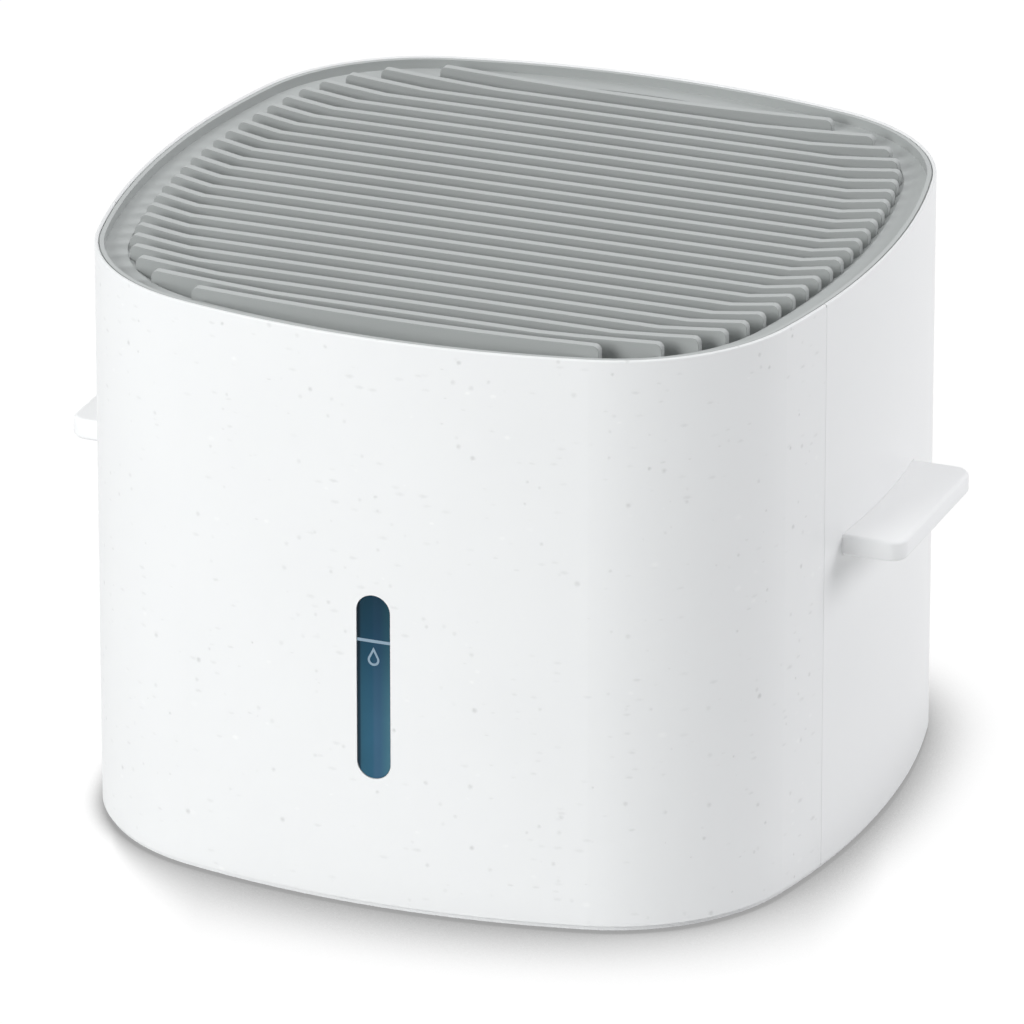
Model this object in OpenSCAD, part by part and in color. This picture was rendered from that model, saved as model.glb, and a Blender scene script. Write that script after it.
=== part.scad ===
// Cool mist humidifier of the wick and fan kind.
// A water tank stands inside a two-piece cover with a side handle left and right. The fan unit
// rests on the tank's rim and lifts out, with the wick filter and the float hanging under it
// and the dished outlet grille on top.
// Millimetres, +Z up, the front faces -Y, and the origin is on the floor under the middle.

/* [Body] */
// Width and depth of the body across the middles of its sides
body_w = 245; // [230:1:262]
// Height of the rim above the floor
body_h = 191; // [184:1:206]
// Radius of the slightly bulged sides
side_r = 285.6; // [262:0.1:330]
// Radius of the upright corners
corner_r = 63.7; // [56:0.1:70]
// Wall of the covers
cover_t = 2.8; // [2.4:0.1:3.2]
// Wall of the covers' rim, beside the grille's raised edge
rim_t = 1.2; // [1:0.1:1.6]
// Distance of the seam between the covers ahead of the middle
seam_front = 45; // [42:1:52]
// Width of the seam
seam_gap = 0.5; // [0.3:0.1:0.8]
// Width of the strip behind the seam that joins the covers
seam_strip_w = 14; // [10:1:16]
// Clearance between pieces that are fitted together
fit = 0.3; // [0.2:0.05:0.4]
// Radial clearance of a shaft that turns in a bore
run_fit = 0.05; // [0.02:0.01:0.08]

/* [Base] */
// Height of the base's visible edge
base_edge_h = 1.4; // [1:0.1:2]
// How far the base's edge stands back from the covers
base_inset = 1.2; // [0.6:0.1:2]
// Shadow gap between the base and the covers
base_gap = 0.4; // [0.2:0.1:0.8]
// Height of the base's step inside the covers
base_step_h = 2.4; // [2:0.1:4]
// Diameter of a foot
foot_d = 20; // [14:1:24]
// Height of a foot below the base
foot_proud = 0.8; // [0.6:0.1:2]
// Place of a foot along X
foot_x = 62; // [50:1:66]
// Place of a foot along Y
foot_y = 98; // [90:1:100]
// Radius of a base screw's head
screw_head_r = 3.6; // [3:0.1:4]
// Radius of a base screw's shank
screw_r = 1.5; // [1.3:0.1:1.8]

/* [Tank] */
// Space between the covers and the tank
tank_gap = 4.2; // [4:0.1:5]
// Wall of the tank
tank_t = 2.4; // [2:0.1:3]
// Height of the room for the fan unit, from the tank's rim to the covers' rim
head_h = 63; // [61:0.5:69]
// Height of a screw pillar above the tank's floor
pillar_h = 10; // [8:1:12]

/* [Handles] */
// Distance of a handle's underside below the covers' rim
handle_drop = 88; // [85:0.5:93]
// Thickness of a handle
handle_t = 7; // [5:0.5:8]
// Distance a handle reaches from the cover
handle_reach = 18; // [14:0.5:24]
// Width of a handle from front to back
handle_w = 66; // [56:1:70]
// Radius of a handle's outer corners
handle_corner_r = 7; // [4:0.5:12]

/* [Window] */
// Width of the level window
window_w = 11.2; // [9:0.1:13]
// Distance of the level window's upper end below the covers' rim
window_drop = 84.7; // [81:0.1:94]
// Height of the level window
window_h = 61.6; // [50:0.1:68]
// Width of the window's flange and seal outside the slot
window_flange_w = 5; // [4:0.5:7]

/* [Outlet grille] */
// Depth of the grille's edge below the rim
ledge_drop = 3.4; // [2.5:0.1:5]
// Thickness of the grille's raised edge
edge_t = 1.5; // [1.2:0.1:1.6]
// Depth of the raised edge's top below the rim
edge_low = 0.3; // [0:0.1:1]
// Distance from the cover's face to the well that holds the fins
well_inset = 10.4; // [9.5:0.1:11]
// Depth of the well below the grille's edge
well_depth = 17.6; // [15:0.1:19]
// Width of the floor round the well
well_floor_w = 16; // [12:1:20]
// Wall of the grille's tray
tray_t = 2; // [1.6:0.1:2.4]
// Distance from the cover's face to the ends of the fins
fin_inset = 11.6; // [11.3:0.1:13]
// Thickness of a fin
fin_t = 2.7; // [2:0.1:3.4]
// Distance from fin to fin
fin_pitch = 8.6; // [8:0.1:10]
// Radius of a fin's upper corners
fin_corner_r = 2; // [1:0.1:3]
// Height of the fins' ends above the rim
fin_rise = 0.8; // [0:0.1:2]
// Depth of the dish's middle below the fins' ends
dish_depth = 10.9; // [8:0.1:12]
// Number of cross ribs under the fins
cross_ribs = 5; // [3:2:7]

/* [Fan] */
// Radius of the fan's duct
duct_r = 63; // [60:0.5:64]
// Wall of the fan's shroud
shroud_t = 2.4; // [2:0.1:3]
// Clearance between the blades' tips and the duct
tip_gap = 1.2; // [0.8:0.1:2]
// Number of blades
blades = 7; // [5:1:9]
// Height of the impeller
impeller_h = 18; // [16:0.5:19]
// Radius of the impeller's hub
hub_r = 21; // [20:0.5:24]
// Radius of the motor's can
motor_r = 17; // [15:0.5:18]
// Height of the motor's can
motor_h = 18; // [16:0.5:19]
// Radius of the motor's shaft
shaft_r = 1.5; // [1.5:0.1:2]
// Thickness of the deck that carries the fan unit
deck_t = 3; // [2.5:0.1:3.5]

/* [Filter] */
// Outer radius of the filter's cage
filter_r = 76.3; // [75:0.1:78]
// Depth of the wick's pleats
pleat_depth = 10; // [8:0.5:11]
// Number of pleats
pleats = 40; // [30:1:48]
// Thickness of the filter's frame
frame_t = 2.2; // [2:0.1:2.6]
// Wall of the ring at the filter's top
head_ring_t = 10.6; // [10:0.1:11]
// Length of the collar that the filter hangs on
collar_h = 16; // [14:0.5:18]
// Turn that frees the filter, in degrees
bayonet_turn = 30; // [28:1:34]
// Gap between the filter and the tank's floor
filter_lift = 5; // [3:0.1:6]

/* [Float] */
// Place of the float along X and Y
float_pos = 70; // [68:0.5:72]
// Radius of the float
float_r = 11; // [9:0.5:12]
// Height of the float
float_h = 14; // [12:0.5:16]
// Radius of the float's stem
stem_r = 3; // [2.5:0.1:3.5]
// Height of the stem's lower end above the tank's floor
stem_lift = 5; // [4:0.5:7]

/* [Controls] */
// Half the width of the port in the rear cover
port_half_w = 60; // [56:1:62]
// Height of the port's lower edge above the deck
port_rise = 5; // [5:0.5:7]
// Height of the port
port_h = 38; // [36:0.5:39]
// Thickness of the intake panel
panel_t = 2.4; // [2:0.1:3]
// Height of an intake slot
slot_h = 3; // [2:0.1:3.4]
// Distance from slot to slot
slot_pitch = 5.6; // [5:0.1:6.5]
// Radius of the power button
button_r = 6.5; // [5:0.1:7]
// Travel of the power button
button_travel = 1.8; // [1:0.1:2]
// Radius of the power inlet
inlet_r = 5; // [4.6:0.1:5.6]
// Place of the button and the inlet along X
control_x = 40; // [38:0.5:42]

/* [Hidden] */

$fn = 96;
// Facets of the long arcs of the plan
arc_fn = 360;

// The plan: four side arcs and four corner arcs that meet smoothly
half = body_w / 2;
bow = side_r - half;
blend_r = side_r - corner_r;
corner_c = (sqrt(2 * pow(blend_r, 2) - pow(bow, 2)) - bow) / 2;
side_a = asin(corner_c / blend_r);
diagonal = sqrt(0.5);
far = 2 * body_w;
// Reach of a cut through a side's walls, inwards and outwards of the cover's face
wall_reach = 15;

rim_flat = 0.03;

// Heights of the base and the tank
tank_rim_z = body_h - head_h;
base_z0 = foot_proud;
base_z1 = base_z0 + base_edge_h;
cover_z0 = base_z1 + base_gap;
base_top = base_z1 + base_step_h;
foot_pocket = base_edge_h - 0.2;
tank_inset = cover_t + tank_gap;
water_inset = tank_inset + tank_t;
tank_floor_z = base_top + tank_t;
pillar_r = screw_r + 3.5;
pillar_c = corner_c + (corner_r - water_inset - 5 - pillar_r) * diagonal;
screw_head_z = base_z0 + 0.2;
screw_head_h = 1.8;
pillar_top = tank_floor_z + pillar_h;

// The level window
window_z1 = body_h - window_drop;
window_z0 = window_z1 - window_h;

// The handle's foot is held between the tank and the cover
handle_z = body_h - handle_drop;
handle_foot_side = 3;
handle_foot_up = 8;
handle_hollow = 3;

// The strip behind the seam
seam_strip_t = 1.6;
seam_strip_z0 = base_top + fit;
seam_strip_z1 = handle_z + handle_t;

// Heights of the fan unit and the grille
deck_z1 = tank_rim_z + deck_t;
unit_inset = cover_t + fit;
ledge_z = body_h - ledge_drop;
edge_inset = rim_t + fit;
rebate_z = ledge_z - tray_t - fit;
well_z = ledge_z - well_depth;
grille_z0 = well_z - tray_t;
skirt_h = 6;
skirt_z0 = ledge_z - tray_t - skirt_h;
post_r = 4;
post_c = corner_c + (corner_r - well_inset - well_floor_w / 2) * diagonal;

// The deck. The filter's head ring slides over the collar and its lugs.
lug_r = filter_r - head_ring_t - fit;
collar_r = lug_r - 3;
deck_hole_r = collar_r - shroud_t;
collar_z0 = tank_rim_z - collar_h;
lug_h = 2;
lug_step = 0.4;
lug_a = 24;
lugs = 3;
air_slots = 8;
air_slot_a = 30;
air_slot_r0 = filter_r + 6;
air_slot_r1 = half - water_inset - 9;
lip_h = 6;
lip_inset = water_inset + fit;

// Self-tapping screws of the deck
tap_r = 1.5;
tap_head_r = 3;
tap_head_h = 2;
tap_l = 9;
tap_boss_r = tap_r + 1.8;
tap_boss_h = 6;
flange_t = 3;
shroud_screw_r = duct_r + shroud_t + 4.8;
shroud_flange_r = shroud_screw_r + tap_head_r + 1;
shroud_screws = 4;
panel_screw_xs = [-45, 13];
panel_screw_inset = 17;

// The motor and the impeller
strut_w = 4;
strut_h = 5;
hub_plate_r = 20;
motor_z0 = deck_z1 + flange_t;
motor_z1 = motor_z0 + motor_h;
motor_screw_circle = 12;
motor_screws_n = 3;
impeller_z1 = grille_z0 - 4;
impeller_z0 = impeller_z1 - impeller_h;
hub_top_t = 2.5;
hub_wall_t = 2.2;
blade_t = 1.8;
blade_curve_r = 30;
blade_y = 12;
blade_edge = 0.8;
shaft_in_motor = 12;
shaft_z0 = motor_z1 - shaft_in_motor;

// The filter
collar_flange_z0 = collar_z0 + lug_h + fit / 2;
collar_flange_h = 5.6;
filter_top = collar_flange_z0 + collar_flange_h;
wick_top = collar_z0 - 6;
filter_z0 = tank_floor_z + filter_lift;
wick_z0 = filter_z0 + frame_t;
wick_r = filter_r - frame_t - fit;
wick_band = 3.2;
cage_in_r = wick_r - pleat_depth - wick_band - 4;
cage_lip_h = 8;
cage_bars = 6;
cage_bar_w = 7;

// The float
stem_z0 = tank_floor_z + stem_lift;
clip_z = stem_z0 + 2;
clip_t = 1;
clip_r = 6;
float_z0 = clip_z + clip_t + fit;
float_bore_r = stem_r + 0.4;
stem_flange_h = 2.5;
nut_h = 3.5;
nut_r = 6.4;

// The intake panel and the controls behind it
panel_out = cover_t + 2 * fit;
panel_in = panel_out + panel_t;
panel_half_w = port_half_w + 4;
panel_top = skirt_z0 - fit;
port_z0 = deck_z1 + port_rise;
port_corner_r = 6;
slot_x0 = -port_half_w + port_corner_r;
slot_cols = 3;
slot_rib = 4;
// Space between the slots and the middle of the controls
control_room = 22;
slot_w = (control_x - control_room - slot_x0 - (slot_cols - 1) * slot_rib) / slot_cols;
slot_margin = 3;
slot_rows = floor((port_h - 2 * slot_margin + slot_pitch - slot_h) / slot_pitch);
board_t = 1.6;
board_half_w = 19;
// Depth of the board's inner face behind the panel
board_depth = 11.5;
board_y = edge_y(control_x + board_half_w - 1, panel_in) - board_depth;
board_back = board_y + board_t;
board_z0 = deck_z1 + flange_t + 0.8;
board_z1 = grille_z0 - 1.2;
board_screw_dx = board_half_w - 4;
board_tap_r = 1.1;
board_tap_l = 6;
board_head_r = 2;
board_head_h = 1.4;
board_boss_r = 3;
// Supply chip and capacitor on the board's inner face
chip_w = 10;
chip_h = 2.2;
chip_x = control_x - 1.4 * chip_w;
chip_z = board_z0 + 1.2 * chip_w;
can_r = 3.2;
can_h = 9;
can_x = control_x + 2.5 * can_r;
can_z = chip_z + 2 * can_r;
// How deep the board's parts are soldered in
solder = 0.4;
// Socket and pin of the power inlet
socket_r = 2.85;
socket_depth = 9.5;
pin_r = 1;
pin_back = 1;
button_z = grille_z0 - button_r - 2.5;
inlet_z = port_z0 + 9;
lens_x = control_x - 11;
lens_r = 1.9;
button_face_y = edge_y(control_x + button_r, panel_out);
button_stem_r = 2.5;
switch_w = 8;
switch_h = 5;
switch_depth = button_travel + 1.6;

// Half the body's width at a given y, a given distance inside the cover's face
function edge_x(y, inset) =
    let (a = abs(y), rs = side_r - inset, rc = corner_r - inset)
    a <= corner_c + rc * sin(side_a) ? sqrt(pow(rs, 2) - pow(a, 2)) - bow
    : a <= corner_c + rc * cos(side_a) ? corner_c + sqrt(pow(rc, 2) - pow(a - corner_c, 2))
    : sqrt(pow(rs, 2) - pow(a + bow, 2));

// The plan is the same along both axes
function edge_y(x, inset) = edge_x(x, inset);

function arc_points(cx, cy, r, a0, a1, n) =
    [for (i = [0:n]) let (a = a0 + (a1 - a0) * i / n) [cx + r * cos(a), cy + r * sin(a)]];

// Plan of the body, drawn in from the cover's face by the inset
module footprint(inset = 0) {
    arm = corner_c + (corner_r - inset) * sin(side_a);
    intersection() {
        union() {
            square([far, 2 * arm], center = true);
            square([2 * arm, far], center = true);
        }
        translate([bow, 0]) circle(side_r - inset, $fn = arc_fn);
        translate([-bow, 0]) circle(side_r - inset, $fn = arc_fn);
        translate([0, bow]) circle(side_r - inset, $fn = arc_fn);
        translate([0, -bow]) circle(side_r - inset, $fn = arc_fn);
    }
    for (a = [0:90:270])
        rotate(a) translate([corner_c, corner_c]) circle(corner_r - inset, $fn = arc_fn);
}

// Solid plate with the body's plan
module slab(inset, z0, z1) {
    translate([0, 0, z0]) linear_extrude(z1 - z0) footprint(inset);
}

// Wall that follows the body's plan
module wall(outer, inner, z0, z1) {
    translate([0, 0, z0])
        linear_extrude(z1 - z0)
            difference() {
                footprint(outer);
                footprint(inner);
            }
}

// Cuts a wall's upper edge to a half-round with a narrow flat left on top. The profile runs
// outwards from the wall's face, and the wedges keep each ring to its own part of the plan.
module rim_cut(z, t, inset = 0) {
    r = t / 2;
    profile = concat(
        [[1, z - r]],
        arc_points(-r, z - r, r + rim_flat, 0, 180, 8),
        [[-t - 1, z - r], [-t - 1, z + 1], [1, z + 1]]
    );
    dx = corner_c + bow;
    dy = corner_c;
    for (a = [0:90:270])
        rotate([0, 0, a]) {
            intersection() {
                translate([-bow, 0, 0])
                    rotate_extrude($fn = arc_fn) translate([side_r - inset, 0]) polygon(profile);
                translate([-bow, 0, z - t])
                    linear_extrude(2 * t) polygon([[0, 0], [2 * dx, 2 * dy], [2 * dx, -2 * dy]]);
            }
            intersection() {
                translate([corner_c, corner_c, 0])
                    rotate_extrude($fn = arc_fn) translate([corner_r - inset, 0]) polygon(profile);
                translate([corner_c, corner_c, z - t])
                    linear_extrude(2 * t)
                        polygon([[0, 0], [dx / 2, dy / 2], [dx / 2, dx / 2], [dy / 2, dx / 2]]);
            }
        }
}

// Both covers as one wall, before the seam divides them. A rebate takes the grille's raised edge.
module cover_wall() {
    difference() {
        wall(0, cover_t, cover_z0, body_h);
        wall(rim_t, cover_t + 1, rebate_z, body_h + 1);
        rim_cut(body_h, rim_t);
    }
}

// Upright slot with round ends, through the front wall
module window_bar(w, z0, z1) {
    translate([0, -half + wall_reach, 0])
        rotate([90, 0, 0])
            linear_extrude(2 * wall_reach) {
                translate([-w / 2, z0 + w / 2]) square([w, z1 - z0 - w]);
                translate([0, z0 + w / 2]) circle(w / 2);
                translate([0, z1 - w / 2]) circle(w / 2);
            }
}

// Ring of the body's own plan where it crosses a window bar
module window_ring(outer, inner, grow) {
    intersection() {
        wall(outer, inner, window_z0 - window_w, window_z1 + window_w);
        window_bar(window_w + 2 * grow, window_z0 - grow, window_z1 + grow);
    }
}

// Plan of the right handle
module handle_plan(grow) {
    x1 = half + handle_reach + grow;
    hw = handle_w / 2 + grow;
    r = handle_corner_r + grow;
    x0 = half - wall_reach;
    translate([x0, -hw]) square([x1 - r - x0, 2 * hw]);
    translate([x0, -hw + r]) square([x1 - x0, 2 * (hw - r)]);
    for (s = [-1, 1])
        translate([x1 - r, s * (hw - r)]) circle(r);
}

// The right side's piece and its mirror image on the left
module both_sides() {
    children();
    mirror([1, 0, 0]) children();
}

// Places at the four corners of a rectangle
module at_corners(x, y) {
    for (sx = [-1, 1], sy = [-1, 1])
        translate([sx * x, sy * y, 0]) children();
}

// Places of the screws that hold the shroud and the intake panel
module at_deck_screws() {
    for (i = [0:shroud_screws - 1])
        rotate([0, 0, 45 + i * 360 / shroud_screws])
            translate([shroud_screw_r, 0, 0]) children();
    for (x = panel_screw_xs)
        translate([x, edge_y(x, panel_screw_inset), 0]) children();
}

// Places of the control board's screws
module at_board_screws() {
    for (sx = [-1, 1], z = [board_z0 + 4, board_z1 - 4])
        translate([control_x + sx * board_screw_dx, 0, z]) children();
}

// Rod along +Y
module rod_y(x, z, r, y0, y1) {
    translate([x, y1, z]) rotate([90, 0, 0]) cylinder(r = r, h = y1 - y0);
}

// Base

module base_plate() {
    color("white")
        difference() {
            union() {
                slab(base_inset, base_z0, base_z1);
                slab(cover_t + fit, base_z1, base_top);
            }
            at_corners(foot_x, foot_y)
                translate([0, 0, base_z0 - 1]) cylinder(r = foot_d / 2 + fit / 2, h = foot_pocket + 1);
            at_corners(pillar_c, pillar_c) {
                translate([0, 0, base_z0 - 1])
                    cylinder(r = screw_head_r + fit, h = screw_head_z + screw_head_h - base_z0 + 1);
                cylinder(r = screw_r + fit, h = base_top + 1);
            }
        }
}

module feet() {
    color("dimgray")
        at_corners(foot_x, foot_y)
            cylinder(r = foot_d / 2, h = base_z0 + foot_pocket);
}

module base_screws() {
    color("silver")
        at_corners(pillar_c, pillar_c) {
            translate([0, 0, screw_head_z]) cylinder(r = screw_head_r, h = screw_head_h);
            translate([0, 0, screw_head_z + screw_head_h])
                cylinder(r = screw_r, h = pillar_top - 3 - screw_head_z - screw_head_h);
        }
}

// Tank and covers

module water_tank() {
    color("lightsteelblue")
        difference() {
            union() {
                wall(tank_inset, water_inset, base_top, tank_rim_z);
                slab(tank_inset, base_top, tank_floor_z);
                wall(cover_t + fit, water_inset, tank_rim_z - tank_t, tank_rim_z);
                at_corners(pillar_c, pillar_c)
                    translate([0, 0, base_top]) cylinder(r = pillar_r, h = pillar_top - base_top);
            }
            at_corners(pillar_c, pillar_c)
                cylinder(r = screw_r + run_fit, h = pillar_top - 2);
            window_bar(window_w, window_z0, window_z1);
        }
}

module front_cover() {
    color("white")
        difference() {
            union() {
                intersection() {
                    cover_wall();
                    translate([-far / 2, -far - seam_front - seam_gap / 2, 0]) cube([far, far, far]);
                }
                // Strip that reaches behind the rear cover and joins the two
                intersection() {
                    wall(cover_t, cover_t + seam_strip_t, seam_strip_z0, seam_strip_z1);
                    translate([-far / 2, -seam_front - seam_strip_w / 2, 0])
                        cube([far, seam_strip_w, far]);
                }
                // The strip's root in the front cover's own wall
                intersection() {
                    wall(cover_t / 2, cover_t + seam_strip_t / 2, seam_strip_z0 + 1, seam_strip_z1 - 1);
                    translate([-far / 2, -seam_front - seam_strip_w / 2, 0])
                        cube([far, (seam_strip_w - seam_gap) / 2, far]);
                }
            }
            window_bar(window_w, window_z0, window_z1);
        }
}

module rear_cover() {
    color("white")
        difference() {
            cover_wall();
            translate([-far / 2, -far - seam_front + seam_gap / 2, 0]) cube([far, far, far]);
            both_sides()
                translate([0, 0, handle_z - fit / 2])
                    linear_extrude(handle_t + fit) handle_plan(fit / 2);
            translate([0, half + wall_reach, port_z0])
                rotate([90, 0, 0]) linear_extrude(2 * wall_reach) port_plan();
        }
}

// Opening in the rear cover, in front of the intake panel
module port_plan() {
    w = port_half_w;
    r = port_corner_r;
    translate([-w, r]) square([2 * w, port_h - 2 * r]);
    translate([-w + r, 0]) square([2 * (w - r), port_h]);
    for (x = [-w + r, w - r], y = [r, port_h - r])
        translate([x, y]) circle(r);
}

module handle() {
    difference() {
        union() {
            difference() {
                translate([0, 0, handle_z]) linear_extrude(handle_t) handle_plan(0);
                slab(tank_inset - fit / 2, handle_z - 1, handle_z + handle_t + 1);
            }
            intersection() {
                wall(cover_t + fit / 2, tank_inset - fit / 2,
                     handle_z - handle_foot_up, handle_z + handle_t + handle_foot_up);
                translate([0, -handle_w / 2 - handle_foot_side, 0])
                    cube([far, handle_w + 2 * handle_foot_side, far]);
            }
        }
        // Shallow grip hollow in the underside
        translate([half + 2, -handle_w / 2 + handle_corner_r, handle_z - 1])
            cube([handle_reach - 2 - 3, handle_w - 2 * handle_corner_r, handle_hollow + 1]);
    }
}

module handle_right() {
    color("white") handle();
}

module handle_left() {
    color("white") mirror([1, 0, 0]) handle();
}

module level_window() {
    color("midnightblue") {
        window_ring(fit, water_inset - fit, -fit / 2);
        window_ring(cover_t + fit / 2, cover_t + tank_gap / 2, window_flange_w);
    }
}

module window_seal() {
    color("gray")
        difference() {
            window_ring(cover_t + tank_gap / 2, tank_inset, window_flange_w);
            window_bar(window_w, window_z0, window_z1);
        }
}

// Fan unit

module fan_deck() {
    color("lightgray")
        difference() {
            union() {
                slab(unit_inset, tank_rim_z, deck_z1);
                wall(lip_inset, lip_inset + tray_t, tank_rim_z - lip_h, tank_rim_z);
                translate([0, 0, collar_z0]) cylinder(r = collar_r, h = collar_h);
                for (i = [0:lugs - 1])
                    rotate([0, 0, i * 360 / lugs - lug_a / 2])
                        rotate_extrude(angle = lug_a)
                            translate([collar_r - 1, collar_z0 + lug_step])
                                square([lug_r - collar_r + 1, lug_h - lug_step]);
                at_corners(post_c, post_c)
                    translate([0, 0, tank_rim_z]) cylinder(r = post_r, h = grille_z0 - tank_rim_z);
                at_deck_screws()
                    translate([0, 0, tank_rim_z - tap_boss_h]) cylinder(r = tap_boss_r, h = tap_boss_h);
            }
            translate([0, 0, collar_z0 - 1]) cylinder(r = deck_hole_r, h = collar_h + deck_t + 2);
            for (i = [0:air_slots - 1])
                rotate([0, 0, (i + 0.5) * 360 / air_slots - air_slot_a / 2])
                    rotate_extrude(angle = air_slot_a)
                        translate([air_slot_r0, tank_rim_z - 1])
                            square([air_slot_r1 - air_slot_r0, deck_t + 2]);
            at_deck_screws()
                translate([0, 0, deck_z1 - tap_l + 1]) cylinder(r = tap_r, h = tap_l);
            translate([float_pos, -float_pos, tank_rim_z - 1])
                cylinder(r = stem_r + fit / 2, h = deck_t + 2);
        }
}

module fan_shroud() {
    color("dimgray")
        difference() {
            union() {
                translate([0, 0, deck_z1]) cylinder(r = duct_r + shroud_t, h = grille_z0 - deck_z1);
                translate([0, 0, deck_z1]) cylinder(r = shroud_flange_r, h = flange_t);
            }
            difference() {
                translate([0, 0, deck_z1 - 1]) cylinder(r = duct_r, h = grille_z0 - deck_z1 + 2);
                translate([0, 0, deck_z1 - 2]) cylinder(r = hub_plate_r, h = flange_t + 2);
                for (a = [0:90:270])
                    rotate([0, 0, a])
                        translate([0, -strut_w / 2, deck_z1 - 2]) cube([duct_r + 1, strut_w, strut_h + 2]);
            }
            // Seat of the motor between the struts
            translate([0, 0, motor_z0]) cylinder(r = hub_plate_r, h = strut_h);
            translate([0, 0, deck_z1 - 3]) cylinder(r = 5, h = flange_t + 4);
            for (i = [0:motor_screws_n - 1])
                rotate([0, 0, i * 360 / motor_screws_n + 60])
                    translate([motor_screw_circle, 0, deck_z1 - 3])
                        cylinder(r = tap_r + fit / 2, h = flange_t + 4);
            for (i = [0:shroud_screws - 1])
                rotate([0, 0, 45 + i * 360 / shroud_screws])
                    translate([shroud_screw_r, 0, deck_z1 - 1])
                        cylinder(r = tap_r + fit / 2, h = flange_t + 2);
        }
}

module deck_screws() {
    color("silver")
        at_deck_screws() {
            translate([0, 0, motor_z0]) cylinder(r = tap_head_r, h = tap_head_h);
            translate([0, 0, motor_z0 - tap_l]) cylinder(r = tap_r, h = tap_l);
        }
}

module fan_motor() {
    color("silver")
        difference() {
            translate([0, 0, motor_z0]) cylinder(r = motor_r, h = motor_h);
            translate([0, 0, shaft_z0 - 1]) cylinder(r = shaft_r + run_fit, h = motor_h);
            for (i = [0:motor_screws_n - 1])
                rotate([0, 0, i * 360 / motor_screws_n + 60])
                    translate([motor_screw_circle, 0, motor_z0 - 1]) cylinder(r = tap_r, h = 6);
        }
}

module motor_screws() {
    color("silver")
        for (i = [0:motor_screws_n - 1])
            rotate([0, 0, i * 360 / motor_screws_n + 60])
                translate([motor_screw_circle, 0, 0]) {
                    translate([0, 0, deck_z1 - tap_head_h]) cylinder(r = tap_head_r, h = tap_head_h);
                    translate([0, 0, deck_z1]) cylinder(r = tap_r, h = flange_t + 4);
                }
}

module intake_panel() {
    color("white")
        difference() {
            union() {
                intersection() {
                    wall(panel_out, panel_in, deck_z1, panel_top);
                    translate([-panel_half_w, 0, 0]) cube([2 * panel_half_w, far, far]);
                }
                intersection() {
                    wall(panel_in - 1, panel_screw_inset + 5, deck_z1, deck_z1 + flange_t);
                    translate([-panel_half_w, 0, 0]) cube([2 * panel_half_w, far, far]);
                }
                intersection() {
                    at_board_screws() rod_y(0, 0, board_boss_r, board_back, half);
                    slab(panel_in - 1, deck_z1, panel_top);
                }
            }
            for (col = [0:slot_cols - 1], row = [0:slot_rows - 1])
                translate([slot_x0 + col * (slot_w + slot_rib), half - wall_reach,
                           port_z0 + slot_margin + row * slot_pitch])
                    cube([slot_w, 2 * wall_reach, slot_h]);
            rod_y(control_x, button_z, button_r + fit / 2, board_back, half);
            rod_y(control_x, inlet_z, inlet_r + fit / 2, board_back, half);
            rod_y(lens_x, button_z, lens_r + fit / 2, board_back, half);
            at_board_screws() rod_y(0, 0, board_tap_r, board_back - 1, board_back + board_tap_l + 1);
            for (x = panel_screw_xs)
                translate([x, edge_y(x, panel_screw_inset), deck_z1 - 1])
                    cylinder(r = tap_r + fit / 2, h = flange_t + 2);
        }
}

module control_board() {
    color("seagreen")
        difference() {
            union() {
                translate([control_x - board_half_w, board_y, board_z0])
                    cube([2 * board_half_w, board_t, board_z1 - board_z0]);
                translate([control_x - switch_w / 2, board_back - solder, button_z - switch_w / 2])
                    cube([switch_w, switch_h + solder, switch_w]);
                translate([chip_x, board_y - chip_h, chip_z]) cube([chip_w, chip_h + solder, chip_w]);
                rod_y(can_x, can_z, can_r, board_y - can_h, board_y + solder);
            }
            rod_y(control_x, button_z, button_stem_r + run_fit,
                  board_back + switch_h - switch_depth, board_back + switch_h + 1);
            at_board_screws() rod_y(0, 0, board_tap_r + 0.2, board_y - 1, board_back + 1);
        }
}

module board_screws() {
    color("silver")
        at_board_screws() {
            rod_y(0, 0, board_head_r, board_y - board_head_h, board_y);
            rod_y(0, 0, board_tap_r, board_y - board_head_h / 2, board_back + board_tap_l);
        }
}

module power_inlet() {
    color("black")
        difference() {
            rod_y(control_x, inlet_z, inlet_r, board_back, button_face_y);
            difference() {
                rod_y(control_x, inlet_z, socket_r, button_face_y - socket_depth, button_face_y + 1);
                rod_y(control_x, inlet_z, pin_r,
                      button_face_y - socket_depth - 1, button_face_y - pin_back);
            }
        }
}

module indicator_lens() {
    color("lightgreen") rod_y(lens_x, button_z, lens_r, board_back, edge_y(lens_x + lens_r, panel_out));
}

module float_stem() {
    color("whitesmoke")
        translate([float_pos, -float_pos, 0])
            difference() {
                union() {
                    translate([0, 0, stem_z0]) cylinder(r = stem_r, h = deck_z1 + nut_h + 1 - stem_z0);
                    translate([0, 0, tank_rim_z - stem_flange_h]) cylinder(r = nut_r, h = stem_flange_h);
                }
                // Groove for the clip
                difference() {
                    translate([0, 0, clip_z]) cylinder(r = stem_r + 1, h = clip_t);
                    translate([0, 0, clip_z - 1]) cylinder(r = stem_r - 0.6, h = clip_t + 2);
                }
            }
}

module stem_nut() {
    color("whitesmoke")
        translate([float_pos, -float_pos, deck_z1])
            difference() {
                cylinder(r = nut_r, h = nut_h, $fn = 6);
                translate([0, 0, -1]) cylinder(r = stem_r, h = nut_h + 2);
            }
}

module stem_clip() {
    color("silver")
        translate([float_pos, -float_pos, clip_z])
            difference() {
                cylinder(r = clip_r, h = clip_t);
                translate([0, 0, -1]) cylinder(r = stem_r - 0.6, h = clip_t + 2);
                translate([0, -stem_r + 0.6, -1]) cube([clip_r + 1, 2 * (stem_r - 0.6), clip_t + 2]);
            }
}

// Impeller

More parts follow.
